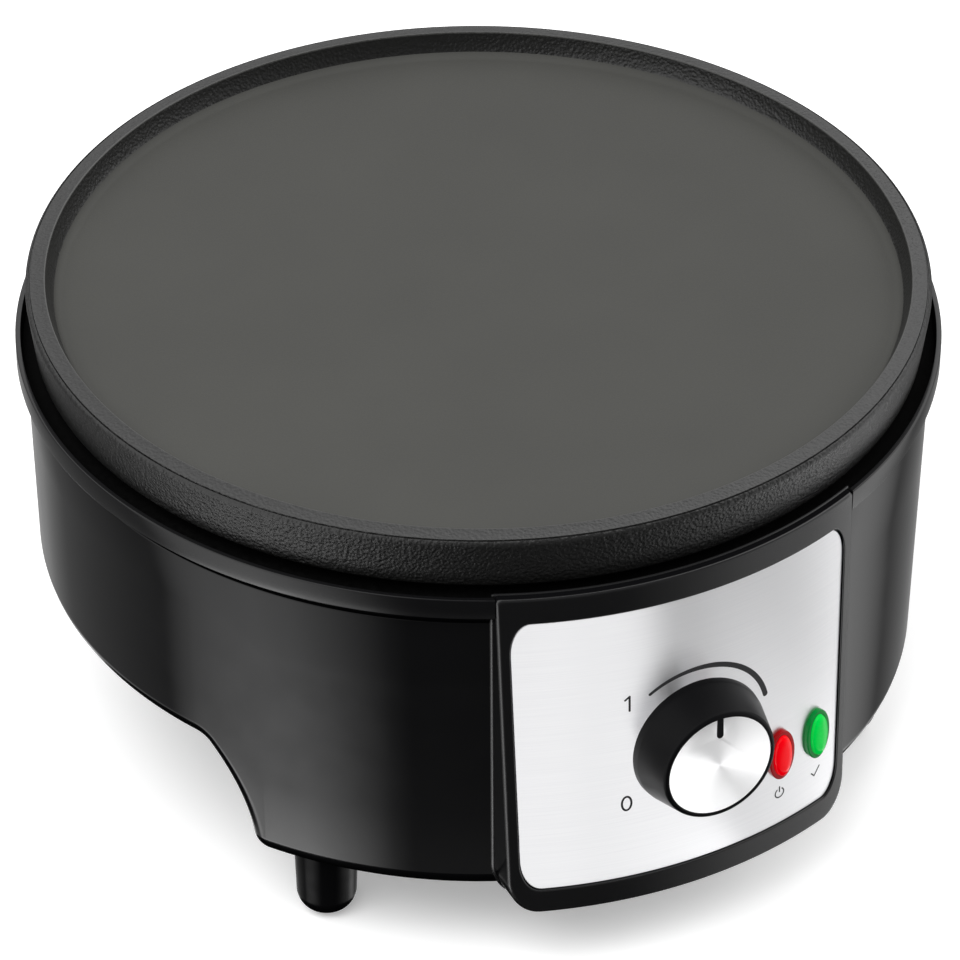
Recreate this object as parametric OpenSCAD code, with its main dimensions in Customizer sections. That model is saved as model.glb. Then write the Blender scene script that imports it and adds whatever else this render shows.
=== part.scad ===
// Electric crepe maker: a round cast griddle on a moulded housing with a bulging control panel,
// a turning thermostat knob, two indicator lenses and three peg feet.
// Millimetres, +Z up, panel facing -Y. The origin is under the middle of the part, on the table.
// Azimuths are degrees from the front (-Y), positive towards +X.

/* [Overall] */
// Height of the griddle's rim above the table
rim_z = 187; // [170:1:200]
// Turn of the feet and aprons about the vertical axis, from the panel's centre line
stand_turn = 1.5; // [-4:0.1:4]

/* [Griddle] */
// Outer radius of the griddle rim
rim_r = 160; // [156:0.5:160.5]
// Width of the rim's rounded top, in to its sharp inner edge
rim_w = 7.2; // [6:0.1:9]
// Width of the slope from that edge down to the flat cooking surface
slope_w = 2.8; // [2:0.1:5]
// Depth of the cooking surface below the rim
recess_depth = 8.7; // [6:0.1:11]
// Thickness of the griddle floor
plate_t = 5; // [4:0.1:6]
// Height of the griddle's outer side
side_h = 20.7; // [18:0.1:21]
// Draft of the griddle's outer side
side_draft = 2; // [0.5:0.1:3]
// Thickness of the outer skirt
skirt_t = 5.5; // [4:0.1:6.5]
// Diameter of the cast bosses under the griddle
boss_d = 12; // [11:0.5:13]
// Radius of the circle that the griddle bosses stand on, as a share of the rim's radius
boss_share = 0.55; // [0.53:0.005:0.56]

/* [Heating] */
// Radius of the heating element ring, as a share of the rim's radius
element_share = 0.7; // [0.68:0.005:0.72]
// Radius of the element's tube
tube_r = 3.3; // [2.8:0.1:3.6]
// Half of the gap left open at the front of the element ring, in degrees
element_gap = 20; // [16:1:30]
// Width of the cast land that carries the element
land_w = 23; // [22:0.5:25]
// Height of that land below the griddle floor
land_h = 2.5; // [2:0.1:3]
// Radius of the thermostat's sensing bulb
bulb_r = 3; // [2.5:0.1:3.4]
// Length of the sensing bulb
bulb_l = 60; // [50:1:66]
// Radius of the thermal fuse
fuse_r = 2.2; // [2:0.1:3]
// Length of the thermal fuse
fuse_l = 24; // [20:1:30]
// Distance of the heat shield's rim in from the griddle's rim
shield_in = 17; // [16:0.5:22]
// Sheet thickness of the heat shield
shield_t = 0.8; // [0.6:0.1:1.2]
// Height of the heat shield's rim
shield_rim_h = 11; // [8:1:12]
// Thickness of the insulating washers between the shield and the pillars
washer_t = 2.5; // [2:0.1:3]

/* [Housing] */
// Reach of the top ring beyond the griddle's rim
ring_reach = 4.4; // [3.5:0.1:5]
// Gap in height between the ring's top edge and the griddle's lower edge
ring_drop = 1; // [0.5:0.1:3]
// Height of the ring's outer band
band_h = 8; // [7:0.1:9]
// Width of the lip along the ring's top edge
lip_w = 2; // [1.5:0.1:2.4]
// Step of the wall's top edge in from the ring's band
wall_step = 3.4; // [3:0.1:4]
// Taper of the wall from its top edge down to the foot of the aprons
wall_taper = 2.4; // [1:0.1:3]
// Thickness of the housing wall
wall_t = 3; // [2.5:0.1:3.4]
// Height of the slot under the ring's band
slot_h = 0.8; // [0.5:0.1:1.2]
// Height of the housing's bottom edge above the table, between the aprons
pan_z = 75; // [70:1:80]
// Height of the aprons' bottom edge above the table
apron_z = 34.3; // [30:0.1:40]
// Radius of the rounded bottom edges
edge_r = 4.5; // [4:0.1:5]
// Half width of the front apron at its foot, in degrees
front_apron_a = 55.6; // [54:0.1:58]
// Half width of the rear apron at its foot, in degrees
rear_apron_a = 30; // [28:1:36]
// Thickness of the base cover
cover_t = 2.5; // [2:0.1:3]
// Inner radius of the wells that hang into the aprons, as a share of the rim's radius
well_share = 0.625; // [0.615:0.005:0.635]
// Height of the base cover above the housing's bottom edge
cover_lift = 1; // [0.5:0.1:2]
// Diameter of the griddle's support pillars
pillar_d = 14; // [13:0.5:15]

/* [Feet] */
// Distance of the feet's axes in from the wall at the foot of the aprons
foot_in = 19.6; // [18.6:0.1:22]
// Azimuth of the front feet from the aprons' centre line
foot_a = 50.5; // [48:0.5:51]
// Diameter of a foot at its top
foot_d = 23; // [20:0.5:24]
// Diameter of a foot where its rounded end starts
foot_low_d = 21.4; // [19:0.1:22]
// Radius of a foot's rounded end
foot_round = 8; // [6:0.5:9]
// Diameter of the rubber pad in a foot's end
pad_d = 9; // [7:0.5:9.5]
// Height that the pad stands out of the foot
pad_out = 0.6; // [0.4:0.1:1]

/* [Panel] */
// Step of the panel frame out from the top ring, at its top edge
frame_step = 0.2; // [0:0.1:0.6]
// Outward growth of the panel's radius per millimetre downwards
panel_slope = 0.045; // [0.03:0.005:0.06]
// Half width of the panel frame at its top
frame_w_top = 68; // [66:0.5:70]
// Half width of the panel frame at its foot
frame_w_low = 66; // [65:0.5:68]
// Height of the panel frame's foot above the table
frame_z = 32; // [29:0.5:33]
// Half width of the metal fascia at its top
fascia_w_top = 63.7; // [62:0.1:64.5]
// Half width of the metal fascia at its foot
fascia_w_low = 62; // [60:0.1:62.5]
// Width of the frame above the fascia
frame_top_w = 10.5; // [9:0.1:13]
// Width of the frame below the fascia
frame_low_w = 9.8; // [9:0.1:12]
// Thickness of the fascia sheet
fascia_t = 0.8; // [0.6:0.1:1]
// Depth of the fascia below the frame's face
fascia_inset = 0.8; // [0.4:0.1:1]
// Thickness of the frame's moulded skin behind the fascia
skin_t = 3; // [2.6:0.1:3.4]

/* [Knob] */
// Height of the knob's axis above the table
knob_z = 94.5; // [90:0.5:98]
// Diameter of the knob at its foot
knob_d = 50; // [46:0.5:52]
// Width of the knob's rim around the metal disc
knob_rim_w = 2; // [1.6:0.1:2.5]
// Length of the knob
knob_l = 17; // [15:0.5:19]
// Diameter of the metal disc in the knob's front
disc_d = 39; // [36:0.5:39.5]
// Thickness of that disc
disc_t = 1.2; // [0.8:0.1:1.6]
// Width of the pointer
pointer_w = 2.4; // [2:0.1:3]
// Length of the pointer
pointer_l = 8; // [6:0.5:10]
// Gap between the knob and the fascia
knob_gap = 0.8; // [0.5:0.1:1.2]
// Diameter of the thermostat's spindle
spindle_d = 6; // [5.5:0.1:6.4]
// Radial clearance of the spindle in its bush
spindle_gap = 0.05; // [0.02:0.01:0.09]

/* [Lenses] */
// Azimuth of the red lens
red_a = 12.1; // [11.6:0.1:12.4]
// Azimuth of the green lens
green_a = 18; // [17.6:0.1:18.2]
// Height of the lenses' centres above the table
lens_z = 72.3; // [68:0.1:78]
// Width of a lens flange
lens_w = 11.4; // [10:0.1:12]
// Height of a lens flange
lens_h = 20.6; // [18:0.1:21]
// Thickness of a lens flange
lens_flange_t = 1.6; // [1.2:0.1:2]
// Height of the dome on top of the flange
lens_dome_t = 1.8; // [1.4:0.1:2.2]

/* [Cord entry] */
// Radius of the bore that the supply cord passes
cord_bore_r = 3.75; // [3.5:0.05:4]
// Height of the cord entry above the table
gland_z = 58; // [54:1:62]

/* [Hidden] */
$fn = 96;

gap = 0.3;              // clearance between pieces that only lie near each other
fit = 0.1;              // clearance around a screw or a located piece
big = 400;              // larger than the part

// Radii
crest_r = rim_r - rim_w;                 // the rim's sharp inner edge
floor_r = crest_r - slope_w;             // the flat cooking surface
boss_circle_r = rim_r * boss_share;
element_r = rim_r * element_share;
shield_r = rim_r - shield_in;
ring_r = rim_r + ring_reach;             // the top ring's band
wall_top_r = ring_r - wall_step;
wall_low_r = wall_top_r - wall_taper;
frame_top_r = ring_r + frame_step;
tray_r = ring_r - 18.4;                  // inner edge of the ring's tray
ear_r = ring_r - 14.4;                   // circle of the ring's screws
well_r = rim_r * well_share;
cover_boss_r = wall_low_r - 11.6;        // circle of the base cover's screws
foot_circle_r = wall_low_r - foot_in;

// Heights
floor_z = rim_z - recess_depth;          // cooking surface
under_z = floor_z - plate_t;             // underside of the griddle
land_z = under_z - land_h;               // underside of the element's land
side_z = rim_z - side_h;                 // lower edge of the griddle's side
ring_z = side_z - ring_drop;             // top edge of the ring
band_z = ring_z - band_h;                // lower edge of the ring's band
wall_z = band_z - slot_h;                // top edge of the housing wall
tray_t = 3;                              // thickness of the ring's inner tray
boss_z = ring_z - 14.3;                  // lower ends of the griddle bosses
shield_z = boss_z - shield_t;            // underside of the heat shield
pillar_z = shield_z - washer_t;          // tops of the pillars
pan_floor_z = pan_z + cover_lift;        // underside of the upper cover floor
well_floor_z = apron_z + cover_lift;     // underside of the well floors
tube_z = land_z - 0.8;                   // centre of the element tube

fascia_top_z = ring_z - frame_top_w;
fascia_low_z = frame_z + frame_low_w;
knob_front_d = disc_d + 2 * knob_rim_w;  // diameter of the knob at its front

// Wall radius at a height
wall_slope = (wall_top_r - wall_low_r) / (wall_z - apron_z);
function wall_r(z) = wall_top_r - wall_slope * (wall_z - z);
function frame_r(z) = frame_top_r + panel_slope * (ring_z - z);
function fascia_r(z) = frame_r(z) - fascia_inset;
panel_tilt = atan(panel_slope);

// Room between the front of the knob and the back of the ring, halved: puts the origin in the middle
knob_reach = fascia_r(knob_z) + (knob_gap + knob_l) * cos(panel_tilt) + knob_front_d / 2 * sin(panel_tilt);
axis_y = (knob_reach - ring_r) / 2;

// Screws
m3_r = 1.5;
m4_r = 2;
m5_r = 2.5;

pillar_as = [60, 180, 300];              // azimuths of the griddle's pillars
clamp_as = [75, 180, 285];               // azimuths of the element clamps
ring_screw_as = [45, 135, 225, 315];
pan_screw_as = [84, 128, 232, 276];      // cover screws between the aprons
well_screw_as = [30, 330, 160, 200];     // cover screws in the wells
cover_boss_d = 8;
foot_as = [stand_turn - foot_a, stand_turn + foot_a, stand_turn + 180];
frame_boss_x = 57;                       // the frame's screw bosses from the centre line
frame_boss_zs = [frame_z + 20, ring_z - 23.3];
window_w = fascia_r(lens_z) * sin(green_a) + 4.1;   // half width of the window behind the panel
window_zs = [frame_boss_zs[0] + 6, frame_boss_zs[1] - 6];

// Points of a circular arc
function arc(c, r, a0, a1, n = 6) =
    [for (i = [0:n]) let (a = a0 + (a1 - a0) * i / n) c + r * [cos(a), sin(a)]];
function ellipse_arc(c, rx, ry, a0, a1, n = 8) =
    [for (i = [0:n]) let (a = a0 + (a1 - a0) * i / n) c + [rx * cos(a), ry * sin(a)]];
function ellipse_pts(w, h, n = 40) =
    [for (i = [0:n - 1]) [w / 2 * cos(360 * i / n), h / 2 * sin(360 * i / n)]];

// Outline of a panel piece, seen from the front: half widths and elliptical corners at top and foot
function panel_outline(w_top, w_low, z_top, z_low, top_c, low_c, grow = 0) =
    let (wt = w_top + grow, wl = w_low + grow, zt = z_top + grow, zl = z_low - grow)
    concat(
        ellipse_arc([wl - low_c[0], zl + low_c[1]], low_c[0], low_c[1], -90, 0),
        ellipse_arc([wt - top_c[0], zt - top_c[1]], top_c[0], top_c[1], 0, 90),
        ellipse_arc([-wt + top_c[0], zt - top_c[1]], top_c[0], top_c[1], 90, 180),
        ellipse_arc([-wl + low_c[0], zl + low_c[1]], low_c[0], low_c[1], 180, 270));
function frame_outline(grow = 0) =
    panel_outline(frame_w_top, frame_w_low, ring_z, frame_z, [2, 1.5], [10, 14], grow);
function fascia_outline(grow = 0) =
    panel_outline(fascia_w_top, fascia_w_low, fascia_top_z, fascia_low_z, [6.5, 13], [7, 13], grow);

// Everything stands around the griddle's axis
module on_axis() { translate([0, axis_y, 0]) children(); }
module at_az(a) { rotate([0, 0, a]) children(); }
module at_polar(r, a, z) { rotate([0, 0, a]) translate([0, -r, z]) children(); }
// Local +Z points straight out of the fascia, local +Y up along it
module on_panel(a, z) { at_polar(fascia_r(z), a, z) rotate([90 - panel_tilt, 0, 0]) children(); }
module ring_of(pts) { rotate_extrude() polygon(pts); }
module post(r, z0, z1) { translate([0, 0, z0]) cylinder(h = z1 - z0, r = r); }
// Prism on a front-view outline, through the housing's front
module front_prism(pts) {
    rotate([90, 0, 0]) translate([0, 0, wall_low_r - 30]) linear_extrude(60) polygon(pts);
}
// Screw with its head below z = 0 and its shank above
module screw(r, l, head_h = 2.2) {
    translate([0, 0, -head_h]) difference() {
        cylinder(h = head_h, r = 1.9 * r);
        translate([0, 0, -1]) cylinder(h = 1 + head_h / 2, r = r * 0.9, $fn = 6);
    }
    cylinder(h = l, r = r);
}

// ---------------------------------------------------------------- griddle and heating

boss_hole_r = m5_r + fit;
boss_hole_l = 14;
function griddle_profile() = concat(
    [[0, under_z], [rim_r - side_draft - skirt_t - 3, under_z]],
    arc([rim_r - side_draft - skirt_t - 3, under_z - 3], 3, 90, 0, 4),
    [[rim_r - side_draft - skirt_t, side_z]],
    arc([rim_r - side_draft - 1.5, side_z + 1.5], 1.5, -90, 0, 4),
    arc([rim_r - 2, rim_z - 2.8], 2, 0, 80, 6),
    [[crest_r + 0.5, rim_z]],
    [[crest_r, rim_z - 0.4]],
    arc([floor_r - 0.6, floor_z + 1.5], 1.5, 0, -90, 4),
    [[0, floor_z]]);

module griddle_plate() {
    color([0.24, 0.24, 0.24]) on_axis() difference() {
        union() {
            ring_of(griddle_profile());
            ring_of([[element_r - land_w / 2, land_z], [element_r + land_w / 2, land_z],
                [element_r + land_w / 2, under_z + 1], [element_r - land_w / 2, under_z + 1]]);
            for (a = pillar_as) at_polar(boss_circle_r, a, 0) post(boss_d / 2, boss_z, under_z + 1);
        }
        translate([0, 0, tube_z]) rotate_extrude() translate([element_r, 0]) circle(r = groove_r);
        for (a = pillar_as) at_polar(boss_circle_r, a, 0) post(boss_hole_r, boss_z - 1, boss_z + boss_hole_l);
        for (a = clamp_as, s = [-1, 1]) at_polar(element_r + s * clamp_reach, a, 0)
            post(m3_r + fit, land_z - 1, land_z + 4.5);
        for (s = [-1, 1]) {
            translate([0, bulb_y + s * clip_reach(bulb_r), 0]) post(m3_r + fit, under_z - 1, under_z + 3.5);
            translate([0, fuse_y + s * clip_reach(fuse_r), 0]) post(m3_r + fit, under_z - 1, under_z + 3.5);
        }
    }
}

cold_l = 34;                             // drop of the element's turned-down ends
bend_r = 8;                              // radius of the bends to them
collar_r = tube_r + 0.15;                // brazed collars where the bends start
collar_l = 3;
groove_r = collar_r + 0.1;               // groove in the griddle's land for the tube
module cold_end(s) { at_polar(element_r, s * element_gap, 0) translate([-s * bend_r, 0, 0]) children(); }
module heating_element() {
    color([0.35, 0.36, 0.38]) on_axis() {
        translate([0, 0, tube_z]) rotate([0, 0, element_gap - 90])
            rotate_extrude(angle = 360 - 2 * element_gap) translate([element_r, 0]) circle(r = tube_r);
        for (s = [-1, 1]) {
            at_polar(element_r, s * element_gap, tube_z - bend_r) rotate([90, 0, 0])
                rotate([0, 0, s > 0 ? 90 : 0]) rotate_extrude(angle = 90)
                    translate([bend_r, 0]) circle(r = tube_r);
            cold_end(s) post(tube_r, tube_z - cold_l, tube_z - bend_r);
            at_polar(element_r, s * element_gap, tube_z) rotate([0, 90, 0])
                cylinder(h = collar_l, r = collar_r, center = true);
        }
    }
}

insulator_r = 5.2;
module element_insulators() {
    color([0.88, 0.86, 0.8]) on_axis() for (s = [-1, 1]) cold_end(s)
        difference() {
            union() {
                post(insulator_r, shield_z - 4, boss_z + 3);
                post(insulator_r + 2, boss_z, boss_z + 2);
            }
            post(tube_r + fit, shield_z - 5, boss_z + 4);
        }
}

tab_l = 9;
tab_z = tube_z - cold_l;                 // lower ends of the element's tube
module element_tabs() {
    color([0.75, 0.75, 0.74]) on_axis() for (s = [-1, 1]) cold_end(s) translate([0, 0, tab_z]) {
        post(1.4, -3, 0);
        translate([-3.15, -0.4, -tab_l]) cube([6.3, 0.8, tab_l - 2]);
    }
}

strap_t = 1;
clamp_reach = 7.5;                       // a clamp's screws from the tube's centre
clamp_gap = 0.2;                         // around the curved tube, under a straight clamp
// Strap over a round piece: foot plates against z = top, arch of inner radius r around z = centre
module strap(r, centre, top, reach, width) {
    rotate([90, 0, 90]) translate([0, 0, -width / 2]) linear_extrude(width) difference() {
        union() {
            translate([-reach - 3, top - strap_t]) square([2 * reach + 6, strap_t]);
            intersection() {
                translate([0, centre]) circle(r = r + strap_t);
                translate([-big, top - big]) square([2 * big, big]);
            }
            translate([-r - strap_t, centre]) square([2 * r + 2 * strap_t, top - centre]);
        }
        translate([0, centre]) circle(r = r);
        translate([-r, centre]) square([2 * r, top - centre + 1]);
    }
}

module element_clamps() {
    color([0.6, 0.61, 0.62]) on_axis() for (a = clamp_as) at_polar(element_r, a, 0) difference() {
        strap(tube_r + clamp_gap, tube_z, land_z, clamp_reach, clip_w);
        for (s = [-1, 1]) translate([0, s * clamp_reach, 0]) post(m3_r + fit, land_z - 3, land_z + 1);
    }
}

module clamp_screws() {
    color([0.7, 0.7, 0.68]) on_axis() for (a = clamp_as, s = [-1, 1])
        at_polar(element_r + s * clamp_reach, a, land_z - strap_t) screw(m3_r, 5);
}

bulb_y = 36 - boss_circle_r;             // the bulb lies across the griddle, in front of its middle
fuse_y = boss_circle_r - 48;             // the fuse lies across it, behind its middle
bulb_z = under_z - bulb_r - 0.05;
fuse_z = under_z - fuse_r - 0.05;
clip_w = 10;
function clip_reach(r) = r + 4;

// A rod under the griddle floor, along X
module rod(y, z, l, r) { translate([-l / 2, y, z]) rotate([0, 90, 0]) cylinder(h = l, r = r); }
// The strap that holds such a rod; its screws sit before and behind it
module rod_clip(y, z, r) {
    translate([0, y, 0]) difference() {
        strap(r + 0.05, z, under_z, clip_reach(r), clip_w);
        for (s = [-1, 1]) translate([0, s * clip_reach(r), 0]) post(m3_r + fit, under_z - 3, under_z + 1);
    }
}

module sensing_bulb() { color([0.72, 0.45, 0.3]) on_axis() rod(bulb_y, bulb_z, bulb_l, bulb_r); }
module thermal_fuse() { color([0.86, 0.8, 0.68]) on_axis() rod(fuse_y, fuse_z, fuse_l, fuse_r); }
module bulb_clip() { color([0.6, 0.61, 0.62]) on_axis() rod_clip(bulb_y, bulb_z, bulb_r); }
module fuse_clip() { color([0.6, 0.61, 0.62]) on_axis() rod_clip(fuse_y, fuse_z, fuse_r); }
module clip_screws() {
    color([0.7, 0.7, 0.68]) on_axis() for (s = [-1, 1]) {
        translate([0, bulb_y + s * clip_reach(bulb_r), under_z - strap_t]) screw(m3_r, 4);
        translate([0, fuse_y + s * clip_reach(fuse_r), under_z - strap_t]) screw(m3_r, 4);
    }
}

wire_hole_r = 3;
tube_hole = [44, bulb_y - 14];                   // where the capillary passes the shield
wire_holes = [[26, fuse_y], [-26, fuse_y]];  // where the fuse's leads pass it
earth_a = 150;
earth_r = element_r + 6;
module heat_shield() {
    color([0.66, 0.67, 0.68]) on_axis() difference() {
        union() {
            post(shield_r, shield_z, boss_z);
            ring_of([[shield_r - shield_t, shield_z], [shield_r, shield_z],
                [shield_r, shield_z + shield_rim_h], [shield_r - shield_t, shield_z + shield_rim_h]]);
        }
        for (a = pillar_as) at_polar(boss_circle_r, a, 0) post(boss_hole_r, shield_z - 1, boss_z + 1);
        for (s = [-1, 1]) cold_end(s) post(insulator_r + fit, shield_z - 1, boss_z + 1);
        for (h = concat([tube_hole], wire_holes)) translate(h) post(wire_hole_r, shield_z - 1, boss_z + 1);
        at_polar(earth_r, earth_a, 0) post(m3_r + fit, shield_z - 1, boss_z + 1);
    }
}

module insulating_washers() {
    color([0.85, 0.83, 0.76]) on_axis() for (a = pillar_as) at_polar(boss_circle_r, a, 0) difference() {
        post(pillar_d / 2, pillar_z, shield_z);
        post(boss_hole_r, pillar_z - 1, shield_z + 1);
    }
}

head_z = pan_floor_z + 3;                // where the heads of the griddle's screws bear
module plate_screws() {
    color([0.7, 0.7, 0.68]) on_axis() for (a = pillar_as) at_polar(boss_circle_r, a, head_z)
        screw(m5_r, boss_z + boss_hole_l - 1 - head_z, 2.8);
}

earth_w = 8;
module earth_tab() {
    color([0.78, 0.7, 0.45]) on_axis() at_polar(earth_r, earth_a, shield_z) difference() {
        union() {
            translate([-earth_w / 2, -earth_w / 2, -0.8]) cube([earth_w, 14, 0.8]);
            translate([-earth_w / 2, 14 - earth_w / 2 - 0.8, -9]) cube([earth_w, 0.8, 9]);
        }
        post(m3_r + fit, -2, 1);
    }
}
module earth_screw() {
    color([0.7, 0.7, 0.68]) on_axis() at_polar(earth_r, earth_a, shield_z - 0.8) screw(m3_r, 5);
}

// ---------------------------------------------------------------- housing

ear_z = band_z - 4;                      // tops of the shell's ears for the ring's screws
ear_t = 3.5;
notch_gap = 0.2;                         // between the ring's ends and the panel frame
spigot_r = wall_top_r - wall_t - gap;
function ring_profile() = concat(
    [[tray_r, band_z], [ring_r - 0.8, band_z]],
    arc([ring_r - 0.8, band_z + 0.8], 0.8, -90, 0, 3),
    arc([ring_r - 0.8, ring_z - 0.8], 0.8, 0, 90, 3),
    [[ring_r - lip_w, ring_z], [ring_r - lip_w - 0.6, band_z + tray_t], [tray_r, band_z + tray_t]]);

module top_ring() {
    color([0.07, 0.07, 0.075]) on_axis() difference() {
        union() {
            ring_of(ring_profile());
            ring_of([[spigot_r - 2.4, ear_z + 0.6], [spigot_r, ear_z + 0.6],
                [spigot_r, band_z + 1], [spigot_r - 2.4, band_z + 1]]);
            for (a = ring_screw_as) at_polar(ear_r, a, 0) post(4, ear_z, band_z + 1);
        }
        // the panel frame closes the band at the front
        intersection() {
            front_prism(frame_outline(notch_gap));
            ring_of([[wall_top_r + notch_gap, band_z - 5], [ring_r + 5, band_z - 5],
                [ring_r + 5, ring_z + 5], [wall_top_r + notch_gap, ring_z + 5]]);
        }
        for (a = ring_screw_as) at_polar(ear_r, a, 0) post(m3_r + fit, ear_z - 1, band_z + 2.2);
    }
}

module ring_screws() {
    color([0.7, 0.7, 0.68]) on_axis() for (a = ring_screw_as)
        at_polar(ear_r, a, ear_z - ear_t) screw(m3_r, ear_t + 6);
}

lip_h = 2.2;
seat_w = 1.4;                            // width of the wall's raised inner edge under the ring
// Lower edge of the wall at height z: rolled inwards to a lip
function wall_edge(z) = concat(
    arc([wall_r(z + edge_r) - edge_r, z + edge_r], edge_r, 0, -90, 6),
    [[wall_r(z + edge_r) - edge_r, z + lip_h], [wall_r(z + lip_h + 2) - wall_t, z + lip_h + 2]]);
wall_profile = concat(
    [[wall_r(band_z) - wall_t, band_z], [wall_top_r - wall_t + seat_w, band_z],
        [wall_top_r - wall_t + seat_w, wall_z]],
    arc([wall_r(wall_z - 1.2) - 1.2, wall_z - 1.2], 1.2, 90, 0, 4),
    wall_edge(pan_z));
join_z = pan_z + 12;                     // the aprons reach up to here inside the wall
apron_profile = concat([[wall_r(join_z) - wall_t, join_z], [wall_r(join_z), join_z]], wall_edge(apron_z));

// The aprons' ends sweep up to the housing's bottom edge in three arcs
end_steep = 80;
end_shallow = 45;
end_corner_r = 7;
end_sweep_r = (pan_z - apron_z - end_corner_r * (2 - cos(end_steep) - cos(end_shallow)))
    / (cos(end_shallow) - cos(end_steep));
end_p1 = [end_corner_r * sin(end_steep), apron_z + end_corner_r * (1 - cos(end_steep))];
end_c2 = end_p1 + end_sweep_r * [sin(end_steep), -cos(end_steep)];
end_p2 = end_c2 + end_sweep_r * [-sin(end_shallow), cos(end_shallow)];
end_c3 = end_p2 + end_corner_r * [sin(end_shallow), -cos(end_shallow)];
end_curve = concat(
    arc([0, apron_z + end_corner_r], end_corner_r, -90, end_steep - 90, 6),
    arc(end_c2, end_sweep_r, 90 + end_steep, 90 + end_shallow, 10),
    arc(end_c3, end_corner_r, 90 + end_shallow, 90, 5));
end_cover = 40;                          // how far an end's outline reaches back into the apron
end_outline = concat([[-end_cover, apron_z - 1], [0, apron_z - 1]], end_curve,
    [[end_c3[0], pan_z + edge_r + 2], [-end_cover, pan_z + edge_r + 2]]);

module sector(a, half) { rotate([0, 0, a - half - 90]) rotate_extrude(angle = 2 * half) children(); }
module apron(a, half) {
    step = 8;
    sector(a, half - step) polygon(apron_profile);
    for (s = [-1, 1]) intersection() {
        sector(a + s * (half + step), 2 * step + 1) polygon(apron_profile);
        at_az(a + s * half) front_prism([for (p = end_outline) [s * p[0], p[1]]]);
    }
}

function frame_boss_a(z) = asin(frame_boss_x / wall_r(z));
// The places of the frame's screws on the outside of the wall, local +Z outwards
module at_frame_bosses() {
    for (z = frame_boss_zs, s = [-1, 1]) {
        $z = z;
        at_polar(wall_r(z), s * frame_boss_a(z), z) rotate([90, 0, 0]) children();
    }
}

module body_shell() {
    color([0.05, 0.05, 0.055]) on_axis() difference() {
        union() {
            ring_of(wall_profile);
            apron(stand_turn, front_apron_a);
            apron(stand_turn + 180, rear_apron_a);
            for (a = ring_screw_as) {
                at_polar(ear_r, a, 0) post(5, ear_z - ear_t, ear_z);
                at_az(a) translate([-5, -wall_r(ear_z) + wall_t / 2, ear_z - ear_t])
                    cube([10, wall_r(ear_z) - wall_t / 2 - ear_r, ear_t]);
            }
            for (a = pan_screw_as) cover_boss(a, pan_floor_z + cover_t);
            for (a = well_screw_as) cover_boss(a, well_floor_z + cover_t);
        }
        for (a = ring_screw_as) at_polar(ear_r, a, 0) post(m3_r + fit, ear_z - ear_t - 1, ear_z + 1);
        for (a = pan_screw_as) at_polar(cover_boss_r, a, 0)
            post(m3_r + fit, pan_floor_z, pan_floor_z + cover_t + 13);
        for (a = well_screw_as) at_polar(cover_boss_r, a, 0)
            post(m3_r + fit, well_floor_z, well_floor_z + cover_t + 13);
        translate([-window_w, -wall_top_r - 5, window_zs[0]])
            cube([2 * window_w, 60, window_zs[1] - window_zs[0]]);
        at_frame_bosses() post(m3_r + fit, -wall_t - 2, 2);
        at_polar(wall_r(gland_z), 180, gland_z) rotate([90, 0, 0]) post(gland_body_r + fit, -wall_t - 3, 3);
    }
}
// A boss for one of the base cover's screws, with its rib to the wall
module cover_boss(a, z) {
    rib = wall_r(z + 8) - wall_t / 2 - cover_boss_r;
    at_polar(cover_boss_r, a, 0) post(cover_boss_d / 2, z, z + 16);
    at_az(a) translate([-1.2, -cover_boss_r - rib, z + 0.5]) cube([2.4, rib, 15]);
}

cover_pan_r = wall_r(pan_z + edge_r) - edge_r - gap;
cover_well_r = wall_r(apron_z + edge_r) - edge_r - gap;
well_front_a = front_apron_a - 2;
well_rear_a = rear_apron_a - 2;
module well(a, half) {
    sector(a, half) translate([well_r, well_floor_z]) square([cover_well_r - well_r, cover_t]);
    sector(a, half) translate([well_r, well_floor_z])
        square([cover_t, pan_floor_z + cover_t - well_floor_z]);
    side_l = cover_well_r - 0.5 - well_r - cover_t / 2;
    for (s = [-1, 1]) at_az(a + s * half) translate([-cover_t / 2, -cover_well_r + 0.5, well_floor_z])
        cube([cover_t, side_l, pan_floor_z + cover_t - well_floor_z]);
}

vent_n = 12;
vent_l = 36;
vent_w = 4;
vent_end_r = boss_circle_r - 20;         // outer ends of the vents, inside the pillars
module base_cover() {
    color([0.06, 0.06, 0.06]) on_axis() difference() {
        union() {
            difference() {
                post(cover_pan_r, pan_floor_z, pan_floor_z + cover_t);
                for (w = [[stand_turn, well_front_a], [stand_turn + 180, well_rear_a]])
                    sector(w[0], w[1]) translate([well_r + 1, pan_floor_z - 1])
                        square([cover_pan_r, cover_t + 2]);
            }
            well(stand_turn, well_front_a);
            well(stand_turn + 180, well_rear_a);
            for (a = pillar_as) at_polar(boss_circle_r, a, 0) post(pillar_d / 2, pan_floor_z, pillar_z);
        }
        for (a = pillar_as) at_polar(boss_circle_r, a, 0) {
            post(m5_r + 0.4, pan_floor_z - 1, pillar_z + 1);
            post(m5_r * 1.9 + 0.3, pan_floor_z - 1, head_z);
        }
        for (a = pan_screw_as) at_polar(cover_boss_r, a, pan_floor_z) post(m3_r + fit, -1, 2 * cover_t);
        for (a = well_screw_as) at_polar(cover_boss_r, a, well_floor_z) post(m3_r + fit, -1, 2 * cover_t);
        for (a = foot_as) at_polar(foot_circle_r, a, well_floor_z) post(m4_r + fit, -1, 2 * cover_t);
        for (i = [0:vent_n - 1]) at_az((i + 0.5) * 360 / vent_n)
            translate([-vent_w / 2, -vent_end_r, pan_floor_z - 1]) cube([vent_w, vent_l, cover_t + 2]);
    }
}

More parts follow.
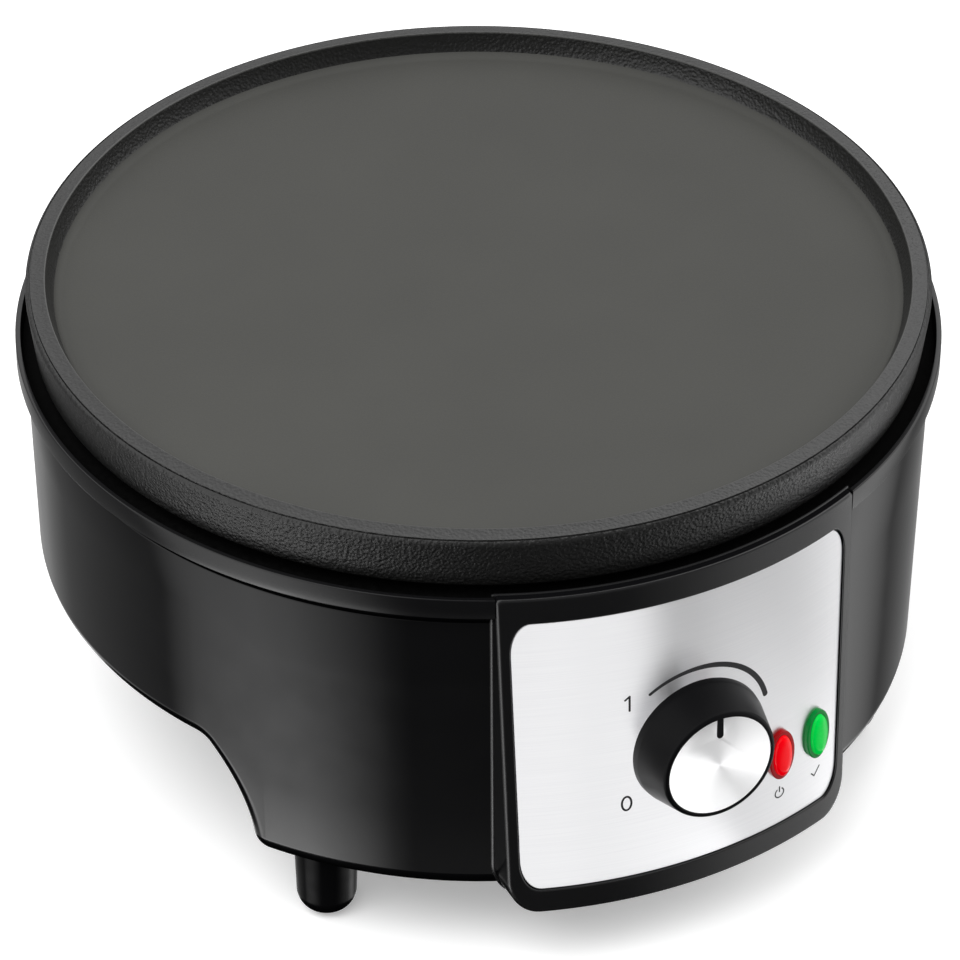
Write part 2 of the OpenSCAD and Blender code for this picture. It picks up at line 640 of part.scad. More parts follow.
module base_screws() {
    color([0.7, 0.7, 0.68]) on_axis() {
        for (a = pan_screw_as) at_polar(cover_boss_r, a, pan_floor_z) screw(m3_r, cover_t + 11, 1.6);
        for (a = well_screw_as) at_polar(cover_boss_r, a, well_floor_z) screw(m3_r, cover_t + 11, 1.6);
    }
}

// ---------------------------------------------------------------- feet

pad_in = 1.5;
foot_screw_in = 20;                      // length of its screw inside the foot
module foot(a) {
    color([0.05, 0.05, 0.055]) on_axis() at_polar(foot_circle_r, a, 0) difference() {
        ring_of(concat([[0, pad_out]],
            arc([foot_low_d / 2 - foot_round, pad_out + foot_round], foot_round, -90, 0, 8),
            [[foot_d / 2, well_floor_z], [0, well_floor_z]]));
        post(pad_d / 2 + 0.05, -1, pad_out + pad_in);
        post(m4_r + fit, well_floor_z - foot_screw_in - 1, well_floor_z + 1);
    }
}
module front_left_foot() { foot(foot_as[0]); }
module front_right_foot() { foot(foot_as[1]); }
module rear_foot() { foot(foot_as[2]); }
module foot_pads() {
    color([0.12, 0.12, 0.12]) on_axis() for (a = foot_as) at_polar(foot_circle_r, a, 0)
        post(pad_d / 2, 0, pad_out + pad_in);
}
module foot_screws() {
    color([0.7, 0.7, 0.68]) on_axis() for (a = foot_as)
        at_polar(foot_circle_r, a, well_floor_z + cover_t) rotate([180, 0, 0])
            screw(m4_r, cover_t + foot_screw_in);
}

// ---------------------------------------------------------------- panel

// Solid of revolution whose side follows the panel, lowered by d
module panel_cone(d) {
    ring_of([[0, 0], [frame_r(0) - d, 0], [frame_r(ring_z) - d, ring_z], [0, ring_z]]);
}
skin_z = -fascia_t - skin_t;             // back of the frame's skin, from the fascia's face
pad_z = skin_z - 4.2;                    // back of the pad that carries the thermostat
frame_wall = 3;
cavity_top_z = ring_z - 15.3;            // top of the frame's cavity
bush_r = 5;
module panel_frame() {
    color([0.05, 0.05, 0.055]) on_axis() difference() {
        union() {
            difference() {
                intersection() {
                    panel_cone(0);
                    front_prism(frame_outline());
                }
                // back against the wall
                ring_of([[0, 0], [wall_r(0) + notch_gap, 0], [wall_top_r + notch_gap, wall_z],
                    [wall_top_r + notch_gap, ring_z + 1], [0, ring_z + 1]]);
                intersection() {
                    panel_cone(fascia_inset + fascia_t + skin_t);
                    front_prism(frame_outline(-frame_wall));
                    translate([-big, -big, 0]) cube([2 * big, 2 * big, cavity_top_z]);
                }
            }
            intersection() {
                at_frame_bosses() post(4, notch_gap + 0.2, 30);
                panel_cone(fascia_inset + fascia_t);
            }
            on_panel(0, knob_z) post(15, pad_z, skin_z + 1);
        }
        // seat of the fascia
        difference() {
            intersection() {
                front_prism(fascia_outline(gap));
                translate([0, 0, 1]) panel_cone(-5);
            }
            panel_cone(fascia_inset + fascia_t);
        }
        at_frame_bosses() post(m3_r + fit, -1, frame_screw_l($z) - wall_t + 0.4);
        on_panel(0, knob_z) {
            post(bush_r + fit, -20, 5);
            for (s = [-1, 1]) translate([s * thermo_screw_x, 0, 0]) {
                post(m3_r + fit, -20, 5);
                post(m3_r * 1.9 + 0.3, thermo_screw_z, 5);
            }
        }
        for (a = [red_a, green_a]) on_panel(a, lens_z) lens_hole();
    }
}
function frame_screw_l(z) = fascia_r(z) - fascia_t - 0.6 - wall_r(z) + wall_t;
module panel_screws() {
    color([0.7, 0.7, 0.68]) on_axis() at_frame_bosses() translate([0, 0, -wall_t - fit])
        screw(m3_r, frame_screw_l($z), 1.8);
}

module panel_fascia() {
    color([0.82, 0.82, 0.83]) on_axis() difference() {
        intersection() {
            difference() {
                panel_cone(fascia_inset);
                panel_cone(fascia_inset + fascia_t);
            }
            front_prism(fascia_outline());
        }
        on_panel(0, knob_z) post(bush_r + 0.5, -5, 5);
        for (a = [red_a, green_a]) on_panel(a, lens_z) lens_hole();
    }
}

// ---------------------------------------------------------------- knob and thermostat

knob_top = knob_gap + knob_l;
hub_r = 6.2;
rim_drop = 0.3;                          // the disc lies this far below the knob's rim
disc_z = knob_top - rim_drop - disc_t;
spindle_top = disc_z - 2;
module on_knob() { on_axis() on_panel(0, knob_z) children(); }
// Spindle section with its flat, grown by g
module spindle_section(g) {
    difference() {
        circle(r = spindle_d / 2 + g);
        translate([-10, spindle_d / 2 - 0.9 + g]) square(20);
    }
}
module knob_grip() {
    color([0.06, 0.06, 0.065]) on_knob() difference() {
        union() {
            ring_of(concat(
                [[hub_r + 12.5, knob_gap], [knob_d / 2 - 0.6, knob_gap]],
                arc([knob_d / 2 - 0.8, knob_gap + 0.8], 0.8, -60, 0, 3),
                [[knob_d / 2 - 0.3, knob_gap + 3.2]],
                arc([knob_front_d / 2 - 1.4, knob_top - 1.4], 1.4, 8, 90, 5),
                [[disc_d / 2 + 0.05, knob_top], [disc_d / 2 + 0.05, disc_z], [0, disc_z],
                    [0, disc_z - 2], [hub_r + 12.5, disc_z - 3.5]]));
            post(hub_r, knob_gap, disc_z - 1);
            for (i = [0:5]) rotate([0, 0, 60 * i + 30]) translate([hub_r - 1, -0.8, knob_gap + 5])
                cube([14.5, 1.6, disc_z - 6.5 - knob_gap]);
        }
        translate([0, 0, -1]) linear_extrude(1 + spindle_top + 0.3) spindle_section(spindle_gap);
        post(hub_r + 1, -1, knob_gap + 0.4);
    }
}
pointer_y = disc_d / 2 - pointer_l + pointer_w / 2;   // centre of its round inner end
// Outline of the pointer, grown by g
module pointer_shape(g) {
    intersection() {
        circle(r = disc_d / 2 + g);
        union() {
            translate([0, pointer_y]) circle(d = pointer_w + 2 * g);
            translate([-pointer_w / 2 - g, pointer_y]) square([pointer_w + 2 * g, pointer_l]);
        }
    }
}
module knob_disc() {
    color([0.8, 0.8, 0.81]) on_knob() translate([0, 0, disc_z]) difference() {
        cylinder(h = disc_t, r = disc_d / 2);
        translate([0, 0, -1]) linear_extrude(disc_t + 2) pointer_shape(0.05);
    }
}
module knob_pointer() {
    color([0.05, 0.05, 0.05]) on_knob() translate([0, 0, disc_z])
        linear_extrude(disc_t + 0.2) pointer_shape(0);
}
spring_z = knob_gap + 1.2;
module knob_spring() {
    color([0.6, 0.6, 0.6]) on_knob() difference() {
        post(hub_r + 0.7, spring_z, spring_z + 3);
        post(hub_r + 0.05, spring_z - 1, spring_z + 4);
        translate([-2, 0, spring_z - 1]) cube([4, 20, 5]);
    }
}
spindle_low = pad_z - 14;
module thermostat_spindle() {
    color([0.72, 0.72, 0.7]) on_knob() {
        post(spindle_d / 2, spindle_low, knob_gap - 0.4);
        translate([0, 0, knob_gap - 0.4]) linear_extrude(spindle_top - knob_gap + 0.4) spindle_section(0);
    }
}

thermo_w = 34;
thermo_h = 26;
thermo_d = 20;
thermo_screw_x = 10.5;
thermo_screw_z = -fascia_t - 2.8;         // where the heads of its screws bear
thermo_back = pad_z - 1.5 - thermo_d;
module thermostat_body() {
    color([0.75, 0.72, 0.66]) on_knob() difference() {
        union() {
            translate([-thermo_w / 2, -thermo_h / 2, pad_z - 1.5]) cube([thermo_w, thermo_h, 1.5]);
            translate([-thermo_w / 2 + 2, -thermo_h / 2 + 1, thermo_back])
                cube([thermo_w - 4, thermo_h - 2, thermo_d]);
            post(bush_r, pad_z - 1, -0.6);
        }
        post(spindle_d / 2 + spindle_gap, spindle_low - 0.5, 5);
        for (s = [-1, 1]) translate([s * thermo_screw_x, 0, 0]) post(m3_r + fit, pad_z - 10, pad_z + 1);
    }
}
module thermostat_screws() {
    color([0.7, 0.7, 0.68]) on_knob() for (s = [-1, 1])
        translate([s * thermo_screw_x, 0, thermo_screw_z]) rotate([180, 0, 0]) screw(m3_r, 12.5, 1.9);
}
thermo_tab_x = 8;
thermo_tab_l = 8;
module thermostat_tabs() {
    color([0.75, 0.75, 0.74]) on_knob() for (s = [-1, 1])
        translate([s * thermo_tab_x - 3.15, -0.4, thermo_back - thermo_tab_l]) cube([6.3, 0.8, thermo_tab_l]);
}

// ---------------------------------------------------------------- lenses

stub_w = lens_w - 4.4;
stub_h = lens_h - 7;
stub_l = 13;
neon_r = 2.4;
module lens_hole() {
    translate([0, 0, -20]) linear_extrude(40) polygon(ellipse_pts(stub_w + 2 * fit, stub_h + 2 * fit));
}
module lens(a, c) {
    color(c) on_axis() on_panel(a, lens_z) difference() {
        union() {
            linear_extrude(lens_flange_t) polygon(ellipse_pts(lens_w, lens_h));
            for (i = [0:3], inset = 2.4 * pow(i / 3, 2))
                linear_extrude(lens_flange_t + lens_dome_t * (i + 1) / 4)
                    polygon(ellipse_pts(lens_w - 2.6 - inset, lens_h - 4 - inset));
            translate([0, 0, -stub_l]) linear_extrude(stub_l + 0.5) polygon(ellipse_pts(stub_w, stub_h));
        }
        post(neon_r + 0.2, -stub_l - 1, -1);
    }
}
module red_lens() { lens(red_a, [0.85, 0.1, 0.08]); }
module green_lens() { lens(green_a, [0.05, 0.7, 0.25]); }
module neon_lamps() {
    color([0.95, 0.7, 0.4, 0.8]) on_axis() for (a = [red_a, green_a]) on_panel(a, lens_z)
        post(neon_r, -stub_l, -1.2);
}
clip_z = skin_z - 0.45;
module lens_clips() {
    color([0.6, 0.6, 0.6]) on_axis() for (a = [red_a, green_a]) on_panel(a, lens_z)
        translate([0, 0, clip_z - 0.8]) linear_extrude(0.8) difference() {
            polygon(ellipse_pts(stub_w + 5, stub_h + 5));
            polygon(ellipse_pts(stub_w + 0.1, stub_h + 0.1));
        }
}

// ---------------------------------------------------------------- supply

gland_body_r = 6.5;
gland_in = 12;                           // how far the gland reaches into the housing
gland_flange_t = 3;
gland_seat = 0.25;                       // room under the flat flange on the sloping wall
module on_gland() { on_axis() at_polar(wall_r(gland_z), 180, gland_z) rotate([90, 0, 0]) children(); }
module cord_gland() {
    color([0.05, 0.05, 0.05]) on_gland() difference() {
        union() {
            post(gland_body_r, -gland_in, 1);
            translate([0, 0, gland_seat]) cylinder(h = gland_flange_t, r1 = 9, r2 = 8);
        }
        post(cord_bore_r, -gland_in - 1, gland_flange_t + 1);
    }
}
module gland_nut() {
    color([0.1, 0.1, 0.1]) on_gland() translate([0, 0, -wall_t - 4.5]) difference() {
        cylinder(h = 4, r = 10, $fn = 6);
        post(gland_body_r + 0.05, -1, 5);
    }
}

block_w = 36;
block_d = 13;
block_h = 16;
block_y = foot_circle_r - 21;
block_z = well_floor_z + cover_t;
terminal_x = 12;
lead_r = 1.3;
lead_gap = 0.3;                          // between a lead's end and its tab
module terminal_block() {
    color([0.9, 0.89, 0.85]) on_axis() translate([0, block_y, block_z]) difference() {
        translate([-block_w / 2, -block_d / 2, 0]) cube([block_w, block_d, block_h]);
        for (x = [-terminal_x, 0, terminal_x]) {
            translate([x, 3, 0]) post(m3_r + fit, block_h - 8, block_h + 1);
            translate([x, -3, 0]) post(lead_r + 0.3, block_h - 3, block_h + 1);
        }
    }
}
module terminal_screws() {
    color([0.78, 0.7, 0.45]) on_axis() for (x = [-terminal_x, 0, terminal_x])
        translate([x, block_y + 3, block_z + block_h]) rotate([180, 0, 0]) screw(m3_r, 7, 1.5);
}

// ---------------------------------------------------------------- leads

function unit(v) = v / norm(v);
function bezier(p, d0, d1, q, n) = [for (i = [0:n]) let (t = i / n, u = 1 - t)
    u * u * u * p + 3 * u * u * t * (p + d0) + 3 * u * t * t * (q + d1) + t * t * t * q];
// The same through a middle point m, passed in the direction dm
function bezier_via(p, d0, m, dm, d1, q, n) =
    let (second = bezier(m, dm, d1, q, n)) concat(bezier(p, d0, -dm, m, n), [for (i = [1:n]) second[i]]);
function carry(ts, i, v) = i >= len(ts) ? [] :
    let (w = unit(v - (v * ts[i]) * ts[i])) concat([w], carry(ts, i + 1, w));
// Round tube of radius r along points
module lead(pts, r, sides = 8) {
    last = len(pts) - 1;
    ts = [for (i = [0:last]) unit(pts[min(i + 1, last)] - pts[max(i - 1, 0)])];
    side = abs(ts[0][2]) < 0.7 ? [0, 0, 1] : [1, 0, 0];
    ns = carry(ts, 0, side);
    rings = [for (i = [0:last], j = [0:sides - 1]) let (a = 360 * j / sides)
        pts[i] + r * (cos(a) * ns[i] + sin(a) * cross(ts[i], ns[i]))];
    faces = concat(
        [for (i = [0:last - 1], j = [0:sides - 1]) let (k = (j + 1) % sides)
            [i * sides + j, (i + 1) * sides + j, (i + 1) * sides + k, i * sides + k]],
        [[for (j = [0:sides - 1]) j], [for (j = [sides - 1:-1:0]) last * sides + j]]);
    polyhedron(rings, faces);
}
// A point behind the panel's middle, given in the knob's own axes
function behind_panel(x, y, z) = [x,
    -fascia_r(knob_z) + y * sin(panel_tilt) - z * cos(panel_tilt),
    knob_z + y * cos(panel_tilt) + z * sin(panel_tilt)];
function polar(r, a, z) = [r * sin(a), -r * cos(a), z];

thermo_tab_z = thermo_back - thermo_tab_l;
// Lower end of an element tab
function tab_end(s) = polar(element_r, s * element_gap, tab_z - tab_l - lead_gap)
    - s * bend_r * [cos(s * element_gap), sin(s * element_gap), 0];
module supply_leads() {
    color([0.35, 0.2, 0.12]) on_axis() {
        lead(bezier([-terminal_x, block_y - 3, block_z + block_h - 2.9], [0, 0, 110], [0, 60, 10],
            behind_panel(-thermo_tab_x, 0, thermo_tab_z - lead_gap), 22), lead_r);
        lead(bezier_via([terminal_x, block_y - 3, block_z + block_h - 2.9], [0, 0, 50], [46, 10, 112],
            [0, -50, 0], [0, 0, -30], tab_end(1), 12), lead_r);
    }
}
module heater_leads() {
    color([0.8, 0.78, 0.7]) on_axis() {
        lead(concat(
            bezier(behind_panel(thermo_tab_x, 0, thermo_tab_z - lead_gap), [0, 50, 0], [0, -10, -50],
                [wire_holes[0][0], wire_holes[0][1], shield_z], 16),
            bezier([wire_holes[0][0], wire_holes[0][1], boss_z + 2], [0, 0, 8], [8, 0, 0],
                [fuse_l / 2 + lead_gap, fuse_y, fuse_z], 8)), lead_r);
        lead(concat(
            bezier(tab_end(-1), [0, 0, -40], [0, -20, -50],
                [wire_holes[1][0], wire_holes[1][1], shield_z], 16),
            bezier([wire_holes[1][0], wire_holes[1][1], boss_z + 2], [0, 0, 8], [-8, 0, 0],
                [-fuse_l / 2 - lead_gap, fuse_y, fuse_z], 8)), lead_r);
    }
}
capillary_r = 1;
module capillary_tube() {
    color([0.72, 0.45, 0.3]) on_axis() lead(concat(
        bezier([bulb_l / 2 + lead_gap, bulb_y, bulb_z], [10, 0, 0], [0, 0, 10],
            [tube_hole[0], tube_hole[1], boss_z + 1], 8),
        bezier([tube_hole[0], tube_hole[1], shield_z - 1], [0, 0, -30], [0, 0, 25],
            behind_panel(thermo_w / 2 - 6, thermo_h / 2 - 1 + lead_gap, thermo_back + 8), 16)), capillary_r);
}
module lamp_leads() {
    color([0.8, 0.15, 0.1]) on_axis() for (l = [[red_a, -7, -8], [green_a, 7, 14]])
        lead(bezier(polar(fascia_r(lens_z) - stub_l - 0.7, l[0], lens_z), [-2, 14, l[2]], [12, 0, 0],
            behind_panel(thermo_w / 2 - 1.9, l[1], thermo_back + 6), 12), 0.8);
}

// ---------------------------------------------------------------- assembly

griddle_plate();
heating_element();
element_insulators();
element_tabs();
element_clamps();
clamp_screws();
sensing_bulb();
bulb_clip();
thermal_fuse();
fuse_clip();
clip_screws();
capillary_tube();
heat_shield();
insulating_washers();
plate_screws();
top_ring();
ring_screws();
body_shell();
base_cover();
base_screws();
panel_frame();
panel_screws();
panel_fascia();
knob_grip();
knob_disc();
knob_pointer();
knob_spring();
thermostat_spindle();
thermostat_body();
thermostat_tabs();
thermostat_screws();
red_lens();
green_lens();
neon_lamps();
lens_clips();
front_left_foot();
front_right_foot();
rear_foot();
foot_pads();
foot_screws();
terminal_block();
terminal_screws();
cord_gland();
gland_nut();
earth_tab();
earth_screw();
supply_leads();
heater_leads();
lamp_leads();
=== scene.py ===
from math import asin, atan, atan2, cos, degrees, hypot, pi, radians, sin, sqrt
import bmesh
import bpy
import numpy as np
from mathutils import Matrix, Vector


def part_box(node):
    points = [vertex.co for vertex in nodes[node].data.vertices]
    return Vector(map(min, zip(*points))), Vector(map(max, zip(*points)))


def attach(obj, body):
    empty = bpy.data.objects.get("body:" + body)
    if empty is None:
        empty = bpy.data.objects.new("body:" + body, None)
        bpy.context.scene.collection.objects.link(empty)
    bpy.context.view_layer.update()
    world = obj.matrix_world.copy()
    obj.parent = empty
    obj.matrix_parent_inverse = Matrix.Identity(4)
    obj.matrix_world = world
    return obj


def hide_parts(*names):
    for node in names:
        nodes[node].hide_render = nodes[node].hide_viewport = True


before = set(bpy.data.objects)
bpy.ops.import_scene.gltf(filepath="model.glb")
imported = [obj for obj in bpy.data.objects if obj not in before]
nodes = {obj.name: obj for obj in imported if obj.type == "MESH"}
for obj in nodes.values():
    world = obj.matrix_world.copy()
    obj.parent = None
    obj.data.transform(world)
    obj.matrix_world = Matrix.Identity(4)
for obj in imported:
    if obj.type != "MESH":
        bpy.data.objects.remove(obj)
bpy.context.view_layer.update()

MM = 0.001          # the sizes below are millimetres
SEGMENTS = 288      # steps around the large round pieces
SMALL_SEGMENTS = 96


# -------- sizes, from the frame

def node_box(node):
    """Lowest and highest corner of a CAD node, in millimetres."""
    low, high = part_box(node)
    return np.array(low) / MM, np.array(high) / MM


griddle_low, griddle_high = node_box("griddle_plate")
ring_low, ring_high = node_box("top_ring")

RIM_R = (griddle_high[0] - griddle_low[0]) / 2
AXIS_Y = (griddle_high[1] + griddle_low[1]) / 2
RIM_Z = griddle_high[2]
RING_R = (ring_high[0] - ring_low[0]) / 2
RING_Z = ring_high[2]
APRON_Z = node_box("body_shell")[0][2]
FRAME_Z = node_box("panel_frame")[0][2]

# griddle
RIM_W = 7.2         # the rim's top, from its outer side to the crest
RIM_ROUND = 2
RIM_SIDE = 2.8      # height of the rim above its straight side
RIM_GROOVE = ((1.2, 1.4), (1.5, 1.4), (1.7, 0.8))  # inwards from the side and down from the top
CREST_ROUND = 0.5
SLOPE_W = 2.8       # the rim's inner side, as seen from above
RECESS = 8.7        # the cooking surface below the rim
COVE_R = 4
PLATE_T = 5
SIDE_Z = RIM_Z - 20.7   # lower end of the outer side
SIDE_DRAFT = 2
SIDE_ROUND = 1.5
SKIRT_T = 5.5
SKIRT_ROUND = 3
ELEMENT_R = RIM_R * 0.7
LAND_T = 2.5        # the land under the plate, with the heating element's groove
LAND_HALF = 11.5
GROOVE_R = 3.5
BOSS_CIRCLE_R = RIM_R * 0.55
BOSS_AZIMUTHS = (60, 180, 300)
BOSS_Z = RING_Z - 14.3
BOSS_R = 6
BOSS_HOLE_R = 2.6

# ring
BAND_Z = RING_Z - 8
BAND_T = 2
TRAY_W = 18.4       # from the ring's outer side to the tray's inner edge
TRAY_T = 3
SPIGOT_T = 2.4
SPIGOT_H = 3.4
CUT_X = 68.2        # half width of the band's gap, which the panel's frame fills

# housing
WALL_Z = BAND_Z - 0.8
WALL_T = 3
WALL_TOP_R = RING_R - 3.4
WALL_TAPER = 2.4    # how much narrower the wall is at its foot
WALL_GAP = 0.2      # between the wall and what lies against it
PAN_Z = 75          # bottom edge between the aprons
EDGE_R = 4.5        # the rolled bottom edge's reach inwards, and its height
EDGE_H = 6.5
STAND_TURN = 1.5    # turn of the aprons and feet against the panel, in degrees
FRONT_APRON = 55.6  # half widths of the aprons, in degrees
REAR_APRON = 30
END_STEEP = 80      # an apron's end: its slopes below and above, and its roundings
END_SHALLOW = 45
END_R = 7

# feet
FOOT_CIRCLE_R = 139
FOOT_AZIMUTHS = (STAND_TURN - 50.5, STAND_TURN + 50.5, STAND_TURN + 180)
FOOT_Z = 0.6
FOOT_TOP_Z = APRON_Z + 1
FOOT_R = 10.7
FOOT_TOP_R = 11.5
FOOT_ROUND = 8
PAD_R = 4.5
PAD_TOP_Z = 2.1
PAD_ROUND = 0.5

# panel
FRAME_TOP_R = RING_R + 0.2
PANEL_SLOPE = 0.045
PANEL_TILT = atan(PANEL_SLOPE)
INSET = 0.8         # the fascia's face below the frame's
SHEET = 0.8
SEAT_GAP = 0.3
# half width above and below, upper and lower end, and the corners' radii across and up
FRAME_SHAPE = (68, 66, RING_Z, FRAME_Z, (2, 1.5), (10, 14))
FASCIA_SHAPE = (63.7, 62, 154.8, 41.8, (6.5, 13), (7, 13))
LIP = 0.6           # reach of the frame's lip along the wall
BEHIND = 50         # a depth that stands for the housing wall
GRID_X = np.arange(-66, 66.1, 2)    # cuts through the panel's plates, across and up
GRID_Z = np.arange(36, 163, 9)

# knob
KNOB_Z = 94.5
KNOB_GAP = 0.8
KNOB_L = 17
KNOB_R = 25
KNOB_FRONT_R = 21.5
KNOB_HOLLOW_R = 18.7
DISC_R = 19.5
DISC_T = 1.2
DISC_DROP = 0.3     # the face below the grip's front edge
POINTER_W = 2.4
POINTER_L = 8

# lenses
LENS_Z = 72.3
LENS_W = 11.4
LENS_H = 20.6
RED_AZ = 12.1
GREEN_AZ = 18

# cord entry
GLAND_Z = 58
GLAND_SEAT = 0.25   # room under the flat flange on the round wall
GLAND_R = 9
GLAND_T = 3
GLAND_NECK_R = 6.5
GLAND_BORE_R = 3.75
GLAND_L = 12


def wall_r(z):
    """Outer radius of the housing wall."""
    return WALL_TOP_R - WALL_TAPER / (WALL_Z - APRON_Z) * (WALL_Z - z)


def wall_back_r(z):
    """Radius of what lies against the wall from outside."""
    return wall_r(min(z, WALL_Z)) + WALL_GAP


def frame_r(z):
    """Radius of the panel frame's front."""
    return FRAME_TOP_R + PANEL_SLOPE * (RING_Z - z)


# -------- shapes

def fan(start, end, steps):
    """Evenly spaced angles between two angles in degrees."""
    return np.radians(np.linspace(start, end, steps + 1))


def arc(centre, radius, start, end, steps):
    """Points of a circular arc, with its angles in degrees."""
    return [(centre[0] + radius * cos(a), centre[1] + radius * sin(a)) for a in fan(start, end, steps)]


def around(radius, azimuth, z):
    """A point around the griddle's axis; the azimuth is in degrees from the front towards +X."""
    a = radians(azimuth)
    return (radius * sin(a), AXIS_Y - radius * cos(a), z)


def put(name, data):
    """A new object in the scene."""
    thing = bpy.data.objects.new(name, data)
    bpy.context.scene.collection.objects.link(thing)
    return thing


def smooth(work, mesh, sharp):
    """Ends the work on a mesh: faces outwards, smooth but for edges sharper than the angle."""
    bmesh.ops.recalc_face_normals(work, faces=work.faces)
    work.to_mesh(mesh)
    work.free()
    mesh.shade_smooth()
    mesh.set_sharp_from_angle(angle=radians(sharp))


def new_piece(name, points, faces, sharp=32):
    """An object from points in millimetres, creased where faces meet sharply."""
    mesh = bpy.data.meshes.new(name)
    mesh.from_pydata([tuple(MM * c for c in p) for p in points], [], faces)
    work = bmesh.new()
    work.from_mesh(mesh)
    bmesh.ops.remove_doubles(work, verts=work.verts, dist=1e-6)
    bmesh.ops.dissolve_degenerate(work, dist=1e-7, edges=work.edges)
    smooth(work, mesh, sharp)
    return put(name, mesh)


def strips(rows, columns, ends="open"):
    """Quads between neighbouring rows of points, where every row is a closed ring. The first and the
    last row stay open, are joined in a loop or are capped with flat faces."""
    last = rows if ends == "loop" else rows - 1
    faces = [(i * columns + j,
              i * columns + (j + 1) % columns,
              (i + 1) % rows * columns + (j + 1) % columns,
              (i + 1) % rows * columns + j)
             for i in range(last) for j in range(columns)]
    if ends == "capped":
        faces += [[row * columns + j for j in range(columns)] for row in (0, rows - 1)]
    return faces


def skin(name, rings, ends="open", sharp=32):
    """A piece from rings of points, joined ring to ring."""
    points = [p for ring in rings for p in ring]
    return new_piece(name, points, strips(len(rings), len(rings[0]), ends), sharp)


def lathe(name, profile, segments=SEGMENTS):
    """A turned piece about its own Z axis, from (radius, height) points that start and end on the
    axis or meet each other."""
    angles = np.linspace(0, 2 * pi, segments, endpoint=False)
    rings = [[(r * sin(a), -r * cos(a), z) for a in angles] for r, z in profile]
    return skin(name, rings, "loop" if profile[0][0] > 0 else "open")


def join(name, pieces):
    """One object from several."""
    work = bmesh.new()
    for piece in pieces:
        piece.data.transform(piece.matrix_world)
        work.from_mesh(piece.data)
        bpy.data.objects.remove(piece)
    mesh = bpy.data.meshes.new(name)
    work.to_mesh(mesh)
    work.free()
    return put(name, mesh)


def move(piece, place):
    """Puts a piece at a point in millimetres."""
    piece.matrix_world = Matrix.Translation(Vector(place) * MM)
    bpy.context.view_layer.update()
    return piece


def facing_out(radius, azimuth, z, tilt=0.0):
    """Placement around the griddle's axis: local Z points outwards, tilted up, and local Y upwards."""
    place = Matrix.Translation(Vector(around(radius, azimuth, z)) * MM)
    turn = Matrix.Rotation(radians(azimuth), 4, "Z")
    return place @ turn @ Matrix.Rotation(pi / 2 - tilt, 4, "X")


def on_panel(azimuth, z):
    """Placement on the fascia's face."""
    return facing_out(frame_r(z) - INSET, azimuth, z, PANEL_TILT)


def paint(piece, index, chosen):
    """Gives one of a piece's materials to the faces whose centre, in millimetres, is chosen."""
    for face in piece.data.polygons:
        if chosen(*(face.center / MM)):
            face.material_index = index


def finish_piece(piece, slot, materials, *replaced, body="housing"):
    """Gives a piece its materials and body, and hides the CAD nodes that it stands for. The slot is
    not used.
    """
    for material in materials:
        piece.data.materials.append(material)
    bpy.context.view_layer.update()
    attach(piece, body)
    if replaced:
        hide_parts(*replaced)


# -------- materials

TEXTURE_SPREAD = (0.3, 0.7)     # the part of a noise's range that counts
BLACK = (0.004, 0.004, 0.0045)


def grey(level):
    return (level,) * 3


def shader_of(material):
    return material.node_tree.nodes["Principled BSDF"]


def new_material(name, colour, roughness, metallic=0.0, specular=0.5, **constants):
    """A Principled material; its constants sit on the shader's own sockets."""
    material = bpy.data.materials.new(name)
    material.use_nodes = True
    shader = shader_of(material)
    shader.inputs["Base Color"].default_value = (*colour, 1)
    shader.inputs["Roughness"].default_value = roughness
    shader.inputs["Metallic"].default_value = metallic
    shader.inputs["Specular IOR Level"].default_value = specular
    for socket, value in constants.items():
        shader.inputs[socket.replace("_", " ")].default_value = value
    return material


def remap(tree, source, window, low=0.0, high=1.0):
    """A number carried from its window to the range from low to high, and held at the ends."""
    node = tree.nodes.new("ShaderNodeMapRange")
    for socket, value in zip(("From Min", "From Max", "To Min", "To Max"), (*window, low, high)):
        node.inputs[socket].default_value = value
    tree.links.new(source, node.inputs["Value"])
    return node.outputs["Result"]


def ramp(tree, source, stops):
    """A colour that follows a number, from (place, colour) stops."""
    node = tree.nodes.new("ShaderNodeValToRGB")
    elements = node.color_ramp.elements
    elements.remove(elements[0])
    for i, (place, colour) in enumerate(stops):
        element = elements[0] if i == 0 else elements.new(place)
        element.position = place
        element.color = (*colour, 1)
    tree.links.new(source, node.inputs["Fac"])
    return node.outputs["Color"]


def texture(material, size, detail, stretch=(1, 1, 1), cells=False):
    """Height of a noise texture, or of rounded cells, with features of about size millimetres."""
    tree = material.node_tree
    coordinates = tree.nodes.new("ShaderNodeTexCoord")
    mapping = tree.nodes.new("ShaderNodeMapping")
    mapping.inputs["Scale"].default_value = stretch
    pattern = tree.nodes.new("ShaderNodeTexVoronoi" if cells else "ShaderNodeTexNoise")
    pattern.inputs["Scale"].default_value = 1 / (size * MM)
    pattern.inputs["Detail"].default_value = detail
    tree.links.new(coordinates.outputs["Object"], mapping.inputs["Vector"])
    tree.links.new(mapping.outputs["Vector"], pattern.inputs["Vector"])
    if not cells:
        return pattern.outputs["Fac"]
    pattern.feature = "SMOOTH_F1"
    return pattern.outputs["Distance"]


def vary(material, source, low, high):
    """Drives the roughness from a texture."""
    tree = material.node_tree
    roughness = shader_of(material).inputs["Roughness"]
    tree.links.new(remap(tree, source, TEXTURE_SPREAD, low, high), roughness)


def tint(material, source, dark, light, window=TEXTURE_SPREAD):
    """Drives the colour from a texture, between two colours."""
    tree = material.node_tree
    colour = shader_of(material).inputs["Base Color"]
    tree.links.new(ramp(tree, source, zip(window, (dark, light))), colour)


